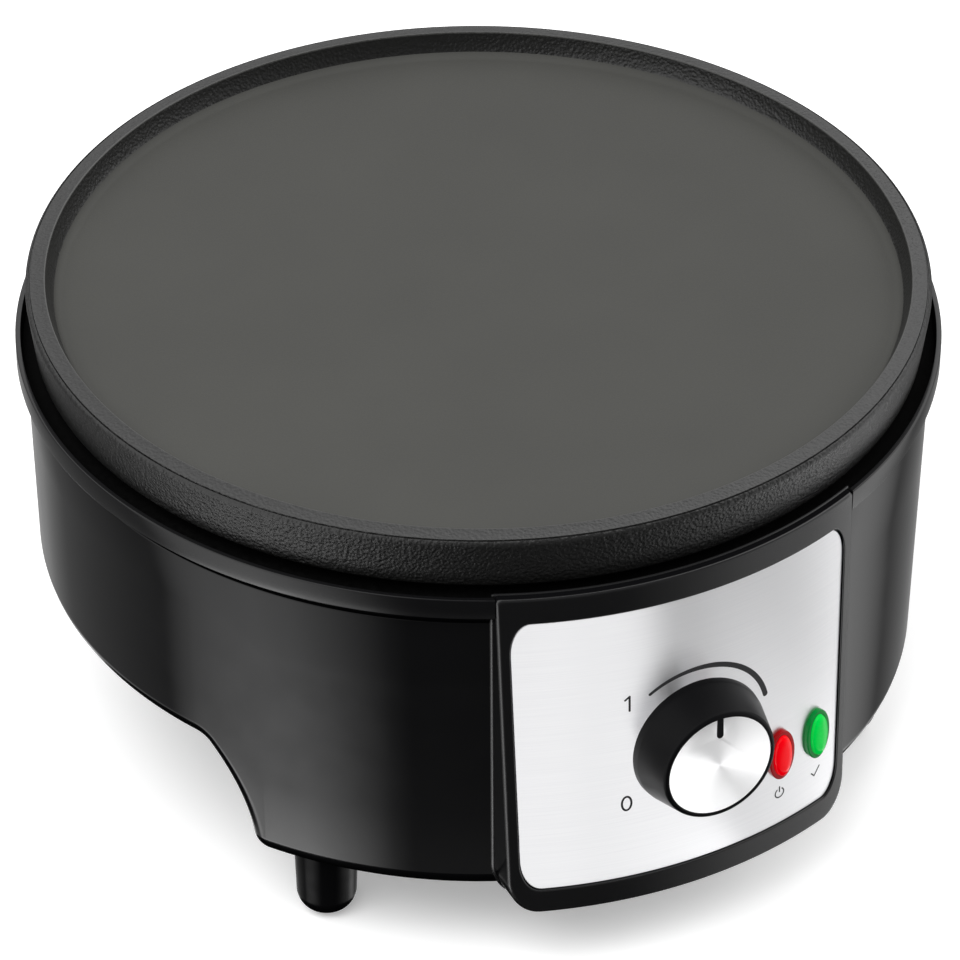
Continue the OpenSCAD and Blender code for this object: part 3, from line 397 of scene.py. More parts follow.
def relief(material, source, height, strength, below=None):
    """Adds a bump of that height in millimetres, on top of the bump below."""
    tree = material.node_tree
    bump = tree.nodes.new("ShaderNodeBump")
    bump.inputs["Distance"].default_value = height * MM
    bump.inputs["Strength"].default_value = strength
    tree.links.new(source, bump.inputs["Height"])
    if below is not None:
        tree.links.new(below, bump.inputs["Normal"])
    tree.links.new(bump.outputs["Normal"], shader_of(material).inputs["Normal"])
    return bump.outputs["Normal"]


def tangent(material, kind, uv_map=""):
    """Sets the direction of a worked metal's streaks."""
    tree = material.node_tree
    node = tree.nodes.new("ShaderNodeTangent")
    node.direction_type = kind
    node.uv_map = uv_map
    tree.links.new(node.outputs["Tangent"], shader_of(material).inputs["Tangent"])


def cast_coating():
    """Non-stick coating on cast aluminium: pebbled, matte, nearly black."""
    material = new_material("cast_coating", grey(0.004), 0.4, specular=1.0)
    broad = texture(material, 40, 2)
    pebbles = texture(material, 1.1, 0, cells=True)
    grain = texture(material, 0.45, 3)
    tint(material, broad, (0.0032, 0.0032, 0.003), (0.005, 0.005, 0.0048))
    vary(material, grain, 0.32, 0.44)
    below = relief(material, pebbles, 0.28, 1.0)
    relief(material, grain, 0.12, 0.8, below)
    return material


def cooking_coating():
    """The same coating on the machined cooking surface, nearly smooth."""
    material = new_material("cooking_coating", (0.056, 0.056, 0.052), 0.55, specular=0.2)
    broad = texture(material, 60, 2)
    grain = texture(material, 0.6, 4)
    tint(material, broad, (0.054, 0.054, 0.050), (0.058, 0.058, 0.0535))
    vary(material, grain, 0.5, 0.62)
    relief(material, grain, 0.05, 0.7)
    return material


def crest_painted_highlight():
    """The griddle's inner edge, painted as a paler line that stands in for the highlight along the
    crest.
    """
    material = new_material("crest_painted_highlight", (0.03, 0.03, 0.029), 0.3, specular=0.9)
    grain = texture(material, 0.8, 3)
    tint(material, grain, (0.018, 0.018, 0.017), (0.045, 0.045, 0.043))
    vary(material, grain, 0.28, 0.42)
    relief(material, grain, 0.03, 0.5)
    return material


def moulded(name, roughness, specular, haze, gloss, grain, colour=BLACK):
    """Black moulded plastic. The haze (size, detail) drives the roughness over the range in gloss;
    the grain is (size, detail, height, strength)."""
    material = new_material(name, colour, roughness, specular=specular)
    size, detail, height, strength = grain
    vary(material, texture(material, *haze), *gloss)
    relief(material, texture(material, size, detail), height, strength)
    return material


def brushed_steel():
    """Fascia sheet brushed along its length."""
    material = new_material("brushed_steel", (0.8, 0.8, 0.81), 0.28, metallic=1.0,
                            Anisotropic=0.65, Anisotropic_Rotation=0.25)
    lines = texture(material, 0.22, 3, (0.006, 0.006, 1))
    bands = texture(material, 30, 1, (1, 1, 0.15))
    tint(material, lines, (0.80, 0.80, 0.815), (0.85, 0.85, 0.86))
    vary(material, bands, 0.29, 0.33)
    relief(material, lines, 0.0015, 0.25)
    tangent(material, "UV_MAP", "along")
    return material


def spun_aluminium():
    """The knob's face, turned in fine circles."""
    material = new_material("spun_aluminium", (0.95, 0.95, 0.955), 0.36, metallic=1.0,
                            Anisotropic=0.9, Anisotropic_Rotation=0.25)
    tree = material.node_tree
    coordinates = tree.nodes.new("ShaderNodeTexCoord")
    rings = tree.nodes.new("ShaderNodeTexWave")
    rings.wave_type = "RINGS"
    rings.rings_direction = "Z"
    rings.inputs["Scale"].default_value = 1 / (0.35 * MM) / 3.1416
    rings.inputs["Distortion"].default_value = 1.5
    rings.inputs["Detail"].default_value = 2
    tree.links.new(coordinates.outputs["Object"], rings.inputs["Vector"])
    tint(material, rings.outputs["Fac"], (0.90, 0.90, 0.905), (0.97, 0.97, 0.975), (0, 1))
    relief(material, rings.outputs["Fac"], 0.003, 0.5)
    tangent(material, "RADIAL")
    return material


def lens_plastic(name, colour, glow, specular=0.3):
    """Clear coloured plastic, lit from behind."""
    material = new_material(name, colour, 0.12, specular=specular,
                            Emission_Color=(*colour, 1), Emission_Strength=glow)
    cells = texture(material, 1.6, 2)
    tint(material, cells, tuple(0.85 * c for c in colour), colour)
    vary(material, cells, 0.08, 0.16)
    return material


def print_ink():
    """Screen-printed black ink."""
    material = new_material("print_ink", (0.02, 0.02, 0.022), 0.45)
    vary(material, texture(material, 0.3, 2), 0.38, 0.55)
    return material


def plain_finish(name, dark, light, roughness, metallic=0.0, size=2.0, height=0.01, specular=0.5):
    """A plain finish, with slight variation of colour, gloss and surface."""
    material = new_material(name, light, roughness, metallic, specular)
    source = texture(material, size, 4)
    fine = texture(material, size / 8, 2)
    tint(material, source, dark, light)
    vary(material, source, 0.85 * roughness, 1.15 * roughness)
    relief(material, fine, height, 0.6)
    return material


CAST = cast_coating()
COOKING = cooking_coating()
# the crest's paler material is a painted highlight
CREST = crest_painted_highlight()
GLOSS = moulded("gloss_black", 0.08, 0.5, haze=(18, 3), gloss=(0.06, 0.12), grain=(55, 1, 0.03, 0.2))
SATIN = moulded("satin_black", 0.16, 0.62, haze=(22, 2), gloss=(0.13, 0.2),
                grain=(0.25, 2, 0.004, 0.4))
FRAME = moulded("frame_black", 0.2, 0.78, haze=(22, 2), gloss=(0.18, 0.27),
                grain=(0.25, 2, 0.004, 0.4), colour=(0.005, 0.005, 0.0055))
# lighter, more reflective copy of the frame's black for the lip and rounded edges: painted highlight
# lines
FRAME_EDGE_HIGHLIGHT = moulded("frame_edge_painted_highlight", 0.2, 1.0, haze=(9, 2), gloss=(0.16, 0.26),
                     grain=(0.25, 2, 0.003, 0.3), colour=(0.008, 0.008, 0.0085))
# copy of the frame's black with its reflection nearly off, so the frame's sides stay dark: painted
# shade
FRAME_SIDE_SHADE = moulded("frame_side_painted_shade", 0.16, 0.02, haze=(9, 2), gloss=(0.13, 0.2),
                     grain=(0.4, 2, 0.004, 0.4))
FOOT = moulded("foot_black", 0.16, 0.05, haze=(9, 2), gloss=(0.13, 0.2), grain=(0.4, 2, 0.004, 0.4))
GRIP = moulded("grip_black", 0.35, 0.14, haze=(12, 2), gloss=(0.28, 0.38), grain=(0.2, 2, 0.005, 0.5))
STEEL = brushed_steel()
SPUN = spun_aluminium()
INK = print_ink()
RED = lens_plastic("red_plastic", (0.64, 0.0, 0.004), 0.85, 0.25)
RED_FLANGE = lens_plastic("red_flange", (0.28, 0.002, 0.004), 0.4)
GREEN = lens_plastic("green_plastic", (0.0, 0.42, 0.045), 0.85, 0.25)
GREEN_FLANGE = lens_plastic("green_flange", (0.0, 0.16, 0.025), 0.45)
# the ring's tray: darker and matte, painted shade under the griddle
TRAY = plain_finish("tray_painted_shade", grey(0.002), grey(0.004), 0.8, specular=0.05)
RUBBER = plain_finish("pad_rubber", grey(0.018), grey(0.03), 0.75, size=1.5, height=0.03)


# -------- griddle and ring

def griddle():
    """Rim, cooking surface, skirt and the land under the plate as one turned profile, with its
    bosses. The crest has the second material, a paler line of painted highlight, and the cooking
    surface the third."""
    floor_z = RIM_Z - RECESS
    under_z = floor_z - PLATE_T
    land_z = under_z - LAND_T
    crest_r = RIM_R - RIM_W
    floor_r = crest_r - SLOPE_W
    cove_r = floor_r - COVE_R * 0.8
    skirt_r = RIM_R - SIDE_DRAFT - SKIRT_T
    profile = [(0, under_z), (ELEMENT_R - LAND_HALF, under_z), (ELEMENT_R - LAND_HALF, land_z)]
    profile += arc((ELEMENT_R, land_z), GROOVE_R, 180, 0, 12)
    profile += [(ELEMENT_R + LAND_HALF, land_z), (ELEMENT_R + LAND_HALF, under_z)]
    profile += arc((skirt_r - SKIRT_ROUND, under_z - SKIRT_ROUND), SKIRT_ROUND, 90, 0, 6)
    profile += [(skirt_r, SIDE_Z)]
    profile += arc((RIM_R - SIDE_DRAFT - SIDE_ROUND, SIDE_Z + SIDE_ROUND), SIDE_ROUND, -90, 0, 8)
    profile += arc((RIM_R - RIM_ROUND, RIM_Z - RIM_SIDE), RIM_ROUND, 0, 62, 10)
    profile += [(RIM_R - inwards, RIM_Z - down) for inwards, down in RIM_GROOVE]
    profile += [(crest_r + 0.9, RIM_Z - 0.15)]
    profile += arc((crest_r + CREST_ROUND, RIM_Z - CREST_ROUND), CREST_ROUND, 90, 190, 8)
    profile += arc((cove_r, floor_z + COVE_R), COVE_R, -20, -90, 10)
    profile += [(r, floor_z) for r in np.linspace(cove_r, 0, 25)[1:]]
    plate = lathe("plate", profile)

    def on_crest(x, y, z):
        return crest_r - 0.1 < hypot(x, y) < crest_r + 0.6 and z > RIM_Z - 0.6

    def on_floor(x, y, z):
        return hypot(x, y) < floor_r and z > floor_z - 0.01

    # the crest gets the paler material: a painted highlight line
    paint(plate, 1, on_crest)
    paint(plate, 2, on_floor)
    top = under_z + 1
    post = [(BOSS_HOLE_R, BOSS_Z), (BOSS_R, BOSS_Z), (BOSS_R, top), (BOSS_HOLE_R, top)]
    bosses = [move(lathe("boss", post, 48), around(BOSS_CIRCLE_R, azimuth, 0))
              for azimuth in BOSS_AZIMUTHS]
    move(plate, (0, AXIS_Y, 0))
    return join("griddle", [plate, *bosses])


def top_ring():
    """The ring's band and tray; the panel's frame takes the place of the band at the front. The tray
    under the griddle has the second material, a darker, matte copy of the ring's black that paints the
    shade under the griddle."""
    cut_r = WALL_TOP_R + WALL_GAP
    tray_r = RING_R - TRAY_W
    tray_z = BAND_Z + TRAY_T
    spigot_r = WALL_TOP_R - WALL_T - 0.3
    spigot_z = BAND_Z - SPIGOT_H
    low_round = 0.4
    top_round = 0.5
    inner_round = 0.3
    profile = [(tray_r, tray_z), (tray_r, BAND_Z), (spigot_r - SPIGOT_T, BAND_Z)]
    profile += [(spigot_r - SPIGOT_T, spigot_z), (spigot_r, spigot_z), (spigot_r, BAND_Z)]
    profile += [(cut_r, BAND_Z)]
    profile += arc((RING_R - low_round, BAND_Z + low_round), low_round, -90, 0, 6)
    profile += arc((RING_R - top_round, RING_Z - top_round), top_round, 0, 90, 6)
    inner_r = RING_R - BAND_T + inner_round
    profile += arc((inner_r, RING_Z - inner_round), inner_round, 90, 180, 4)
    profile += [(RING_R - BAND_T - 0.6, tray_z)]

    def station(share, in_front):
        """The profile at a share of the way along the band, or along the gap in front of it. The
        band's ends are flat faces at x = +-CUT_X."""
        limit = cut_r if in_front else RING_R
        ring = []
        for r, z in profile:
            end = degrees(asin(CUT_X / max(r, cut_r)))
            azimuth = 2 * end * share - end if in_front else end + (360 - 2 * end) * share
            ring.append(around(min(r, limit), azimuth, z))
        return ring

    band = [station(share, False) for share in np.linspace(0, 1, 261)]
    front = [station(share, True) for share in np.linspace(0, 1, 41)]
    ring = skin("ring", band + front, "loop")

    def on_tray(x, y, z):
        return z > BAND_Z and hypot(x, y - AXIS_Y) < RING_R - BAND_T

    # the tray gets the darker matte material: painted shade under the griddle
    paint(ring, 1, on_tray)
    return ring


# -------- housing

def apron_end():
    """An apron's end, as (distance beyond the end line, height, direction into the wall)."""
    steep = radians(END_STEEP)
    shallow = radians(END_SHALLOW)
    down_steep = np.array([sin(steep), -cos(steep)])
    down_shallow = np.array([sin(shallow), -cos(shallow)])
    rise = PAN_Z - APRON_Z - END_R * (2 - cos(steep) - cos(shallow))
    sweep_r = rise / (cos(shallow) - cos(steep))
    low = np.array([0, APRON_Z + END_R])
    sweep = low + END_R * down_steep + sweep_r * down_steep
    high = sweep - sweep_r * down_shallow + END_R * down_shallow
    runs = ((low, END_R, -90, END_STEEP - 90, -1, 10),
            (sweep, sweep_r, 90 + END_STEEP, 90 + END_SHALLOW, 1, 14),
            (high, END_R, 90 + END_SHALLOW, 90, 1, 8))
    stations = []
    for centre, radius, start, end, inward, steps in runs:
        for angle in fan(start, end, steps):
            out = np.array([cos(angle), sin(angle)])
            stations.append((*(centre + radius * out), *(inward * out)))
    return stations


def bottom_edge():
    """Stations along the housing's bottom edge, once around, as (azimuth of the end line, side,
    distance beyond it, height, direction into the wall)."""
    end = apron_end()
    reach = degrees(asin(end[-1][0] / wall_r(PAN_Z)))
    rear = STAND_TURN + 180
    stations = []
    for centre, half, next_end in ((STAND_TURN, FRONT_APRON, rear - REAR_APRON),
                                   (rear, REAR_APRON, STAND_TURN + 360 - FRONT_APRON)):
        for azimuth in np.arange(centre - half + 0.5, centre + half - 0.2, 1.0):
            stations.append((azimuth, 1, 0, APRON_Z, 0, 1))
        stations += [(centre + half, 1, *point) for point in end]
        for azimuth in np.linspace(centre + half + reach, next_end - reach, 60)[1:-1]:
            stations.append((azimuth, 1, 0, PAN_Z, 0, 1))
        stations += [(next_end, -1, *point) for point in reversed(end)]
    return stations


def housing_wall():
    """The wall with its aprons: a thin shell whose bottom edge is rolled in all along."""
    wall_rows = 4
    seat_r = WALL_TOP_R - WALL_T + 1.4
    groove_z = WALL_Z - 3.4
    shoulder_round = 0.5
    shoulder_z = groove_z - shoulder_round
    shoulder = [(seat_r, groove_z)]
    shoulder += arc((wall_r(shoulder_z) - shoulder_round, shoulder_z), shoulder_round, 90, 0, 6)
    roll = [(EDGE_H * (1 - sin(a)), EDGE_R * (1 - cos(a))) for a in fan(0, 90, 14)]
    back = 4.2
    roll += [(2.2, EDGE_R), (back, WALL_T)]
    rings = []
    for azimuth, side, beyond, height, into_x, into_z in bottom_edge():
        edge_z = height + EDGE_H * into_z
        edge_r = wall_r(edge_z)

        def azimuth_at(offset, radius):
            """Azimuth of a point that far into the wall from the bottom edge."""
            return azimuth + side * degrees(asin((beyond + offset * into_x) / radius))

        column = azimuth_at(EDGE_H, edge_r)
        ring = [around(wall_r(BAND_Z) - WALL_T, column, BAND_Z), around(seat_r, column, BAND_Z)]
        ring += [around(r, column, z) for r, z in shoulder]
        for z in np.linspace(shoulder_z, edge_z, wall_rows + 1)[1:-1]:
            ring.append(around(wall_r(z), column, z))
        for offset, depth in roll:
            r = edge_r - depth
            ring.append(around(r, azimuth_at(offset, r), height + offset * into_z))
        for z in np.linspace(height + back * into_z, BAND_Z, wall_rows + 1)[1:-1]:
            ring.append(around(wall_r(z) - WALL_T, column, z))
        rings.append(ring)
    return skin("housing_wall", rings, "loop")


def foot(azimuth, name):
    """A peg foot with its rounded end."""
    profile = [(0, FOOT_Z), (PAD_R - 0.2, FOOT_Z)]
    profile += arc((FOOT_R - FOOT_ROUND, FOOT_Z + FOOT_ROUND), FOOT_ROUND, -78, 0, 14)
    profile += [(FOOT_TOP_R, FOOT_TOP_Z), (0, FOOT_TOP_Z)]
    return move(lathe(name, profile, SMALL_SEGMENTS), around(FOOT_CIRCLE_R, azimuth, 0))


def foot_pad(azimuth):
    """The rubber pad in a foot's end."""
    profile = [(0, 0), (PAD_R - PAD_ROUND - 0.1, 0)]
    profile += arc((PAD_R - PAD_ROUND, PAD_ROUND), PAD_ROUND, -90, 0, 5)
    profile += [(PAD_R, PAD_TOP_Z), (0, PAD_TOP_Z)]
    return move(lathe("pad", profile, 64), around(FOOT_CIRCLE_R, azimuth, 0))


# -------- panel

def outline(shape, grow=0.0):
    """Front view of a panel piece: elliptical corners joined by straight runs, as (x, z)."""
    half_top, half_low, top, low, top_corner, low_corner = shape
    corners = ((half_low, low - grow, low_corner, 1, 1, -90),
               (half_top, top + grow, top_corner, 1, -1, 0),
               (half_top, top + grow, top_corner, -1, -1, 90),
               (half_low, low - grow, low_corner, -1, 1, 180))
    runs = []
    for half, z, (rx, rz), side, up, start in corners:
        centre_x = side * (half + grow - rx)
        centre_z = z + up * rz
        angles = fan(start, start + 90, 12)
        runs.append([(centre_x + rx * cos(a), centre_z + rz * sin(a)) for a in angles])
    points = []
    for run, following, steps in zip(runs, runs[1:] + runs[:1], (24, 44, 24, 44)):
        points += run
        share = np.linspace(0, 1, steps + 1)[1:-1, None]
        points += [tuple(p) for p in np.array(run[-1]) * (1 - share) + np.array(following[0]) * share]
    return points


def on_cone(points, depth):
    """Front-view points carried back onto the panel's curved face, that deep below it."""
    return [(x, AXIS_Y - sqrt((frame_r(z) - depth) ** 2 - x * x), z) for x, z in points]


def bent_plate(name, rings, material_rows=(), sharp=32):
    """A panel piece from closed (outline, depth) rings. It is made flat, cut into a fine grid and
    then bent onto the panel's curve. The first group in material_rows lists the strips with the
    second material, and so on; the front face gets the curve's exact normals. A depth near BEHIND
    is counted from the housing wall."""
    count = len(rings[0][0])
    front = min(depth for points, depth in rings)
    mesh = bpy.data.meshes.new(name)
    flat = [(x, depth, z) for points, depth in rings for x, z in points]
    mesh.from_pydata(flat, [], strips(len(rings), count, "capped"))
    work = bmesh.new()
    work.from_mesh(mesh)
    work.faces.ensure_lookup_table()
    for index, rows in enumerate(material_rows, 1):
        for row in rows:
            for face in work.faces[row * count:(row + 1) * count]:
                face.material_index = index
    cuts = [((x, 0, 0), (1, 0, 0)) for x in GRID_X]
    cuts += [((0, 0, z), (0, 0, 1)) for z in GRID_Z]
    for place, normal in cuts:
        whole = work.verts[:] + work.edges[:] + work.faces[:]
        bmesh.ops.bisect_plane(work, geom=whole, plane_co=place, plane_no=normal, dist=1e-4)
    for face in work.faces:
        face.select = all(abs(vertex.co.y - front) < 1e-4 for vertex in face.verts)
    for vertex in work.verts:
        x, depth, z = vertex.co
        at_wall = depth > BEHIND / 2
        radius = wall_back_r(z) + BEHIND - depth if at_wall else frame_r(z) - depth
        vertex.co = Vector((x, AXIS_Y - sqrt(radius ** 2 - x * x), z)) * MM
    smooth(work, mesh, sharp)
    normals = [(0, 0, 0)] * len(mesh.loops)
    for face in mesh.polygons:
        for loop in face.loop_indices if face.select else ():
            place = mesh.vertices[mesh.loops[loop].vertex_index].co
            out = Vector((place.x, place.y - AXIS_Y * MM, 0)).normalized()
            normals[loop] = (out + Vector((0, 0, PANEL_SLOPE))).normalized()
    mesh.normals_split_custom_set(normals)
    return put(name, mesh)


def panel_frame():
    """The bulging frame, with a lip at the wall, rounded outer and inner edges and the seat that the
    fascia lies in. The lip and the edges have the second material, a lighter and more reflective copy
    of the frame's black that paints highlight lines; the sides have the third, a copy with its
    reflection nearly off that paints them dark as shade."""
    outer_round = 0.9
    inner_round = 0.5
    lip_end = CUT_X - 0.1       # the lip stays between the ends of the ring's band

    def kept_in(x, z):
        return x if z < BAND_Z - 1 else max(-lip_end, min(x, lip_end))

    lip = [(kept_in(x, z), z) for x, z in outline(FRAME_SHAPE, LIP)]
    back = [(lip, BEHIND), (lip, BEHIND - 0.4),
            (outline(FRAME_SHAPE, LIP / 2), BEHIND - 0.75), (outline(FRAME_SHAPE), BEHIND - 0.8)]
    outer = []
    for a in fan(0, 90, 6):
        grow = -outer_round * (1 - cos(a))
        outer.append((outline(FRAME_SHAPE, grow), outer_round * (1 - sin(a))))
    inner = []
    for a in fan(90, 0, 4):
        grow = SEAT_GAP + inner_round * (1 - cos(a))
        inner.append((outline(FASCIA_SHAPE, grow), inner_round * (1 - sin(a))))
    seat = [(outline(FASCIA_SHAPE, SEAT_GAP), INSET + SHEET)]
    first_outer = len(back)
    first_inner = first_outer + len(outer)
    # the lip and the edges get the painted highlight copy, the sides the painted shade copy
    edges = [0, 1, *range(first_outer, first_inner - 1),
             *range(first_inner, first_inner + len(inner) - 1)]
    return bent_plate("frame_of_panel", back + outer + inner + seat, (edges, [first_outer - 1]))


def fascia():
    """The brushed sheet, with a fine bevel along its edge."""
    bevel = 0.22
    rings = [(outline(FASCIA_SHAPE), INSET + SHEET - 0.02), (outline(FASCIA_SHAPE), INSET + bevel),
             (outline(FASCIA_SHAPE, -0.07), INSET + 0.07), (outline(FASCIA_SHAPE, -bevel), INSET)]
    piece = bent_plate("fascia_sheet", rings, sharp=50)
    layer = piece.data.uv_layers.new(name="along")
    for loop in piece.data.loops:   # the brushing's direction
        place = piece.data.vertices[loop.vertex_index].co
        layer.data[loop.index].uv = (place.x * 5, place.z * 5)
    return piece


def stroke(points, width, start_width=None):
    """A printed line on the fascia along (x, z) points, with round ends, just proud of the sheet."""
    path = np.array(points, float)
    start_width = start_width or width
    steps = np.linalg.norm(np.diff(path, axis=0), axis=1)
    along = np.concatenate([[0], np.cumsum(steps)]) / steps.sum()
    half = (start_width + (width - start_width) * np.minimum(1, along * 2.2)) / 2
    heading = np.gradient(path, axis=0)
    heading /= np.linalg.norm(heading, axis=1)[:, None]
    side = np.stack([-heading[:, 1], heading[:, 0]], 1)
    left = path + side * half[:, None]
    right = path - side * half[:, None]
    caps = []
    for centre, radius, direction in ((path[-1], half[-1], heading[-1]),
                                      (path[0], half[0], -heading[0])):
        turn = atan2(direction[1], direction[0])
        angles = turn + fan(-90, 90, 8)[1:-1]
        caps.append([centre + radius * np.array([cos(a), sin(a)]) for a in angles])
    rim = [*right, *caps[0], *left[::-1], *caps[1]]
    count = len(rim)
    size = len(path)
    cap = len(caps[0])
    faces = strips(2, count)
    lefts = [size + cap + size - 1 - i for i in range(size)]
    for start in (0, count):
        for i in range(size - 1):
            faces.append((start + i, start + i + 1, start + lefts[i + 1], start + lefts[i]))
        faces.append([start + k for k in range(size - 1, size + cap + 1)])
        faces.append([start + k % count for k in range(2 * size + cap - 1, 2 * size + 2 * cap + 1)])
    return new_piece("stroke", on_cone(rim, INSET - 0.05) + on_cone(rim, INSET + 0.1), faces)


def printing():
    """Dial marks and lamp signs: an arc, the numbers 0 and 1, a power sign and a tick."""
    knob_axis = np.array([0, KNOB_Z])
    numbers_r = 33
    line = 0.75
    fine = 0.5

    def clockwise(middle, radius, start, end, steps):
        """Points around a middle, from the top."""
        return [middle + radius * np.array([sin(a), cos(a)]) for a in fan(start, end, steps)]

    zero = clockwise(knob_axis, numbers_r, -129, -129, 0)[0]
    one = clockwise(knob_axis, numbers_r, -49, -49, 0)[0]
    oval = [zero + (1.7 * sin(a), 2.9 * cos(a)) for a in np.linspace(0, 2 * pi, 33)]
    strokes = [stroke(clockwise(knob_axis, 29.2, -36, 76, 56), 2.0, start_width=1.1),
               stroke(oval, line),
               stroke([one + (-1.2, 1.7), one + (0.4, 3.0), one + (0.4, 2.9)], 0.7),
               stroke([one + (0.4, 3.0), one + (0.4, 0), one + (0.4, -3.0)], line)]
    sign_z = LENS_Z - LENS_H / 2 - 7
    power, tick = (np.array([(frame_r(sign_z) - INSET) * sin(radians(azimuth)), sign_z])
                   for azimuth in (RED_AZ, GREEN_AZ))
    strokes += [
        stroke(clockwise(power, 1.9, 35, 325, 24), fine),
        stroke([power + (0, 2.6), power + (0, 1.5), power + (0, 0.5)], fine),
        stroke([tick + (-1.9, 0.1), tick + (-1.2, -0.7), tick + (-0.5, -1.5)], fine),
        stroke([tick + (-0.5, -1.5), tick + (0.7, 0.1), tick + (1.9, 1.7)], fine)]
    return join("panel_print", strokes)


def knob():
    """The knob's grip, face and pointer, on the panel."""
    top = KNOB_GAP + KNOB_L
    face_z = top - DISC_DROP
    disc_z = face_z - DISC_T
    low_round = 0.8
    front_round = 1.5
    seat_round = 0.2
    seat_r = DISC_R + 0.05
    profile = [(0, disc_z - 2), (KNOB_HOLLOW_R, disc_z - 3.5), (KNOB_HOLLOW_R, KNOB_GAP)]
    profile += [(KNOB_R - 0.9, KNOB_GAP)]
    profile += arc((KNOB_R - low_round, KNOB_GAP + low_round), low_round, -80, 0, 6)
    profile += arc((KNOB_R - 1.3, KNOB_GAP + 3.2), 1.0, 10, 12, 2)      # start of the taper
    profile += arc((KNOB_FRONT_R - front_round, top - front_round), front_round, 10, 90, 12)
    profile += arc((seat_r + seat_round, top - seat_round), seat_round, 90, 180, 4)
    profile += [(seat_r, disc_z), (0, disc_z)]
    grip = lathe("grip", profile, 160)

    half = POINTER_W / 2
    slot_half = half + 0.05
    inner = DISC_R - POINTER_L + half
    mouth = degrees(asin(slot_half / DISC_R))
    edge = 0.18
    rings = []
    for shift, z in ((0, disc_z), (0, face_z - edge), (0.05, face_z - 0.05), (edge, face_z)):
        rim = arc((0, 0), DISC_R - shift, 90 + mouth, 450 - mouth, 120)
        slot = arc((0, inner), slot_half + shift, 0, -180, 14)
        rings.append([(x, y, z) for x, y in rim + slot])
    face = skin("face_of_knob", rings, "capped")

    bar = np.array(arc((0, inner), half, 180, 360, 14) + arc((0, 0), DISC_R - 0.1, 87, 93, 4))
    outwards = bar - (0, inner + 2)
    outwards /= np.linalg.norm(outwards, axis=1)[:, None]
    rings = [[(x, y, z) for x, y in bar - inset * outwards]
             for inset, z in ((0, disc_z), (0, face_z + 0.05), (0.15, face_z + 0.2))]
    pointer = skin("pointer_bar", rings, "capped")

    grip.data.transform(on_panel(0, KNOB_Z))
    for piece in (face, pointer):
        piece.matrix_world = on_panel(0, KNOB_Z)
    return grip, face, pointer


def lens(name, azimuth):
    """An oval lens: a rounded flange with a stepped, crowned dome, which has the second material."""
    half_w = LENS_W / 2
    half_h = LENS_H / 2
    angles = np.linspace(0, 2 * pi, 72, endpoint=False)

    def oval(w, h, z):
        return [(w * cos(a), h * sin(a), z) for a in angles]

    def inset_oval(inset, z):
        return oval(half_w - inset, half_h - inset, z)

    stub_w = half_w - 2.2
    stub_h = half_h - 3.5
    stub_z = -13
    rings = [oval(0, 0, stub_z), oval(stub_w, stub_h, stub_z), oval(stub_w, stub_h, 0)]
    rings += [inset_oval(0, 0), inset_oval(0, 0.9)]
    rim_round = 0.5
    rim_z = 1.6
    for a in fan(0, 90, 5):
        z = rim_z - rim_round + rim_round * sin(a)
        rings.append(inset_oval(rim_round * (1 - cos(a)), z))
    groove = ((1.35, rim_z), (1.5, 1.35), (1.75, 1.35), (1.85, rim_z))
    rings += [inset_oval(inset, z) for inset, z in groove]
    dome_inset = 1.9
    dome_z = 1.9
    crown_z = 3.35
    for a in np.linspace(0, 1, 12)[1:] * pi / 2:
        inset = dome_inset + (half_w - dome_inset) * (1 - cos(a)) * 0.999
        rings.append(inset_oval(inset, dome_z + (crown_z - dome_z) * sin(a) ** 0.8))
    piece = skin(name, rings, "capped", 40)

    def on_dome(x, y, z):
        return z > 1.3 and hypot(x / (half_w - 1.8), y / (half_h - 1.8)) < 1

    paint(piece, 1, on_dome)
    piece.matrix_world = on_panel(azimuth, LENS_Z)
    return piece


# -------- rear

def gland():
    """The cord entry's bush: a tapered flange with a stepped face."""
    top = GLAND_SEAT + GLAND_T
    step = 0.3
    low_round = 0.4
    face_round = 0.6
    bore_round = 0.4
    profile = [(GLAND_BORE_R, -GLAND_L), (GLAND_NECK_R, -GLAND_L)]
    profile += [(GLAND_NECK_R, GLAND_SEAT), (GLAND_R, GLAND_SEAT)]
    profile += arc((GLAND_R - low_round, GLAND_SEAT + 0.6), low_round, 0, 20, 2)
    profile += arc((GLAND_R - 1.6, top - face_round), face_round, 20, 90, 6)
    profile += [(5.2, top), (4.9, top - step), (4.4, top - step)]
    profile += arc((GLAND_BORE_R + bore_round, top - bore_round), bore_round, 60, 180, 5)
    piece = lathe("cord_bush", profile, SMALL_SEGMENTS)
    piece.matrix_world = facing_out(wall_r(GLAND_Z), 180, GLAND_Z)
    return piece


# -------- CAD pieces that show or lie inside

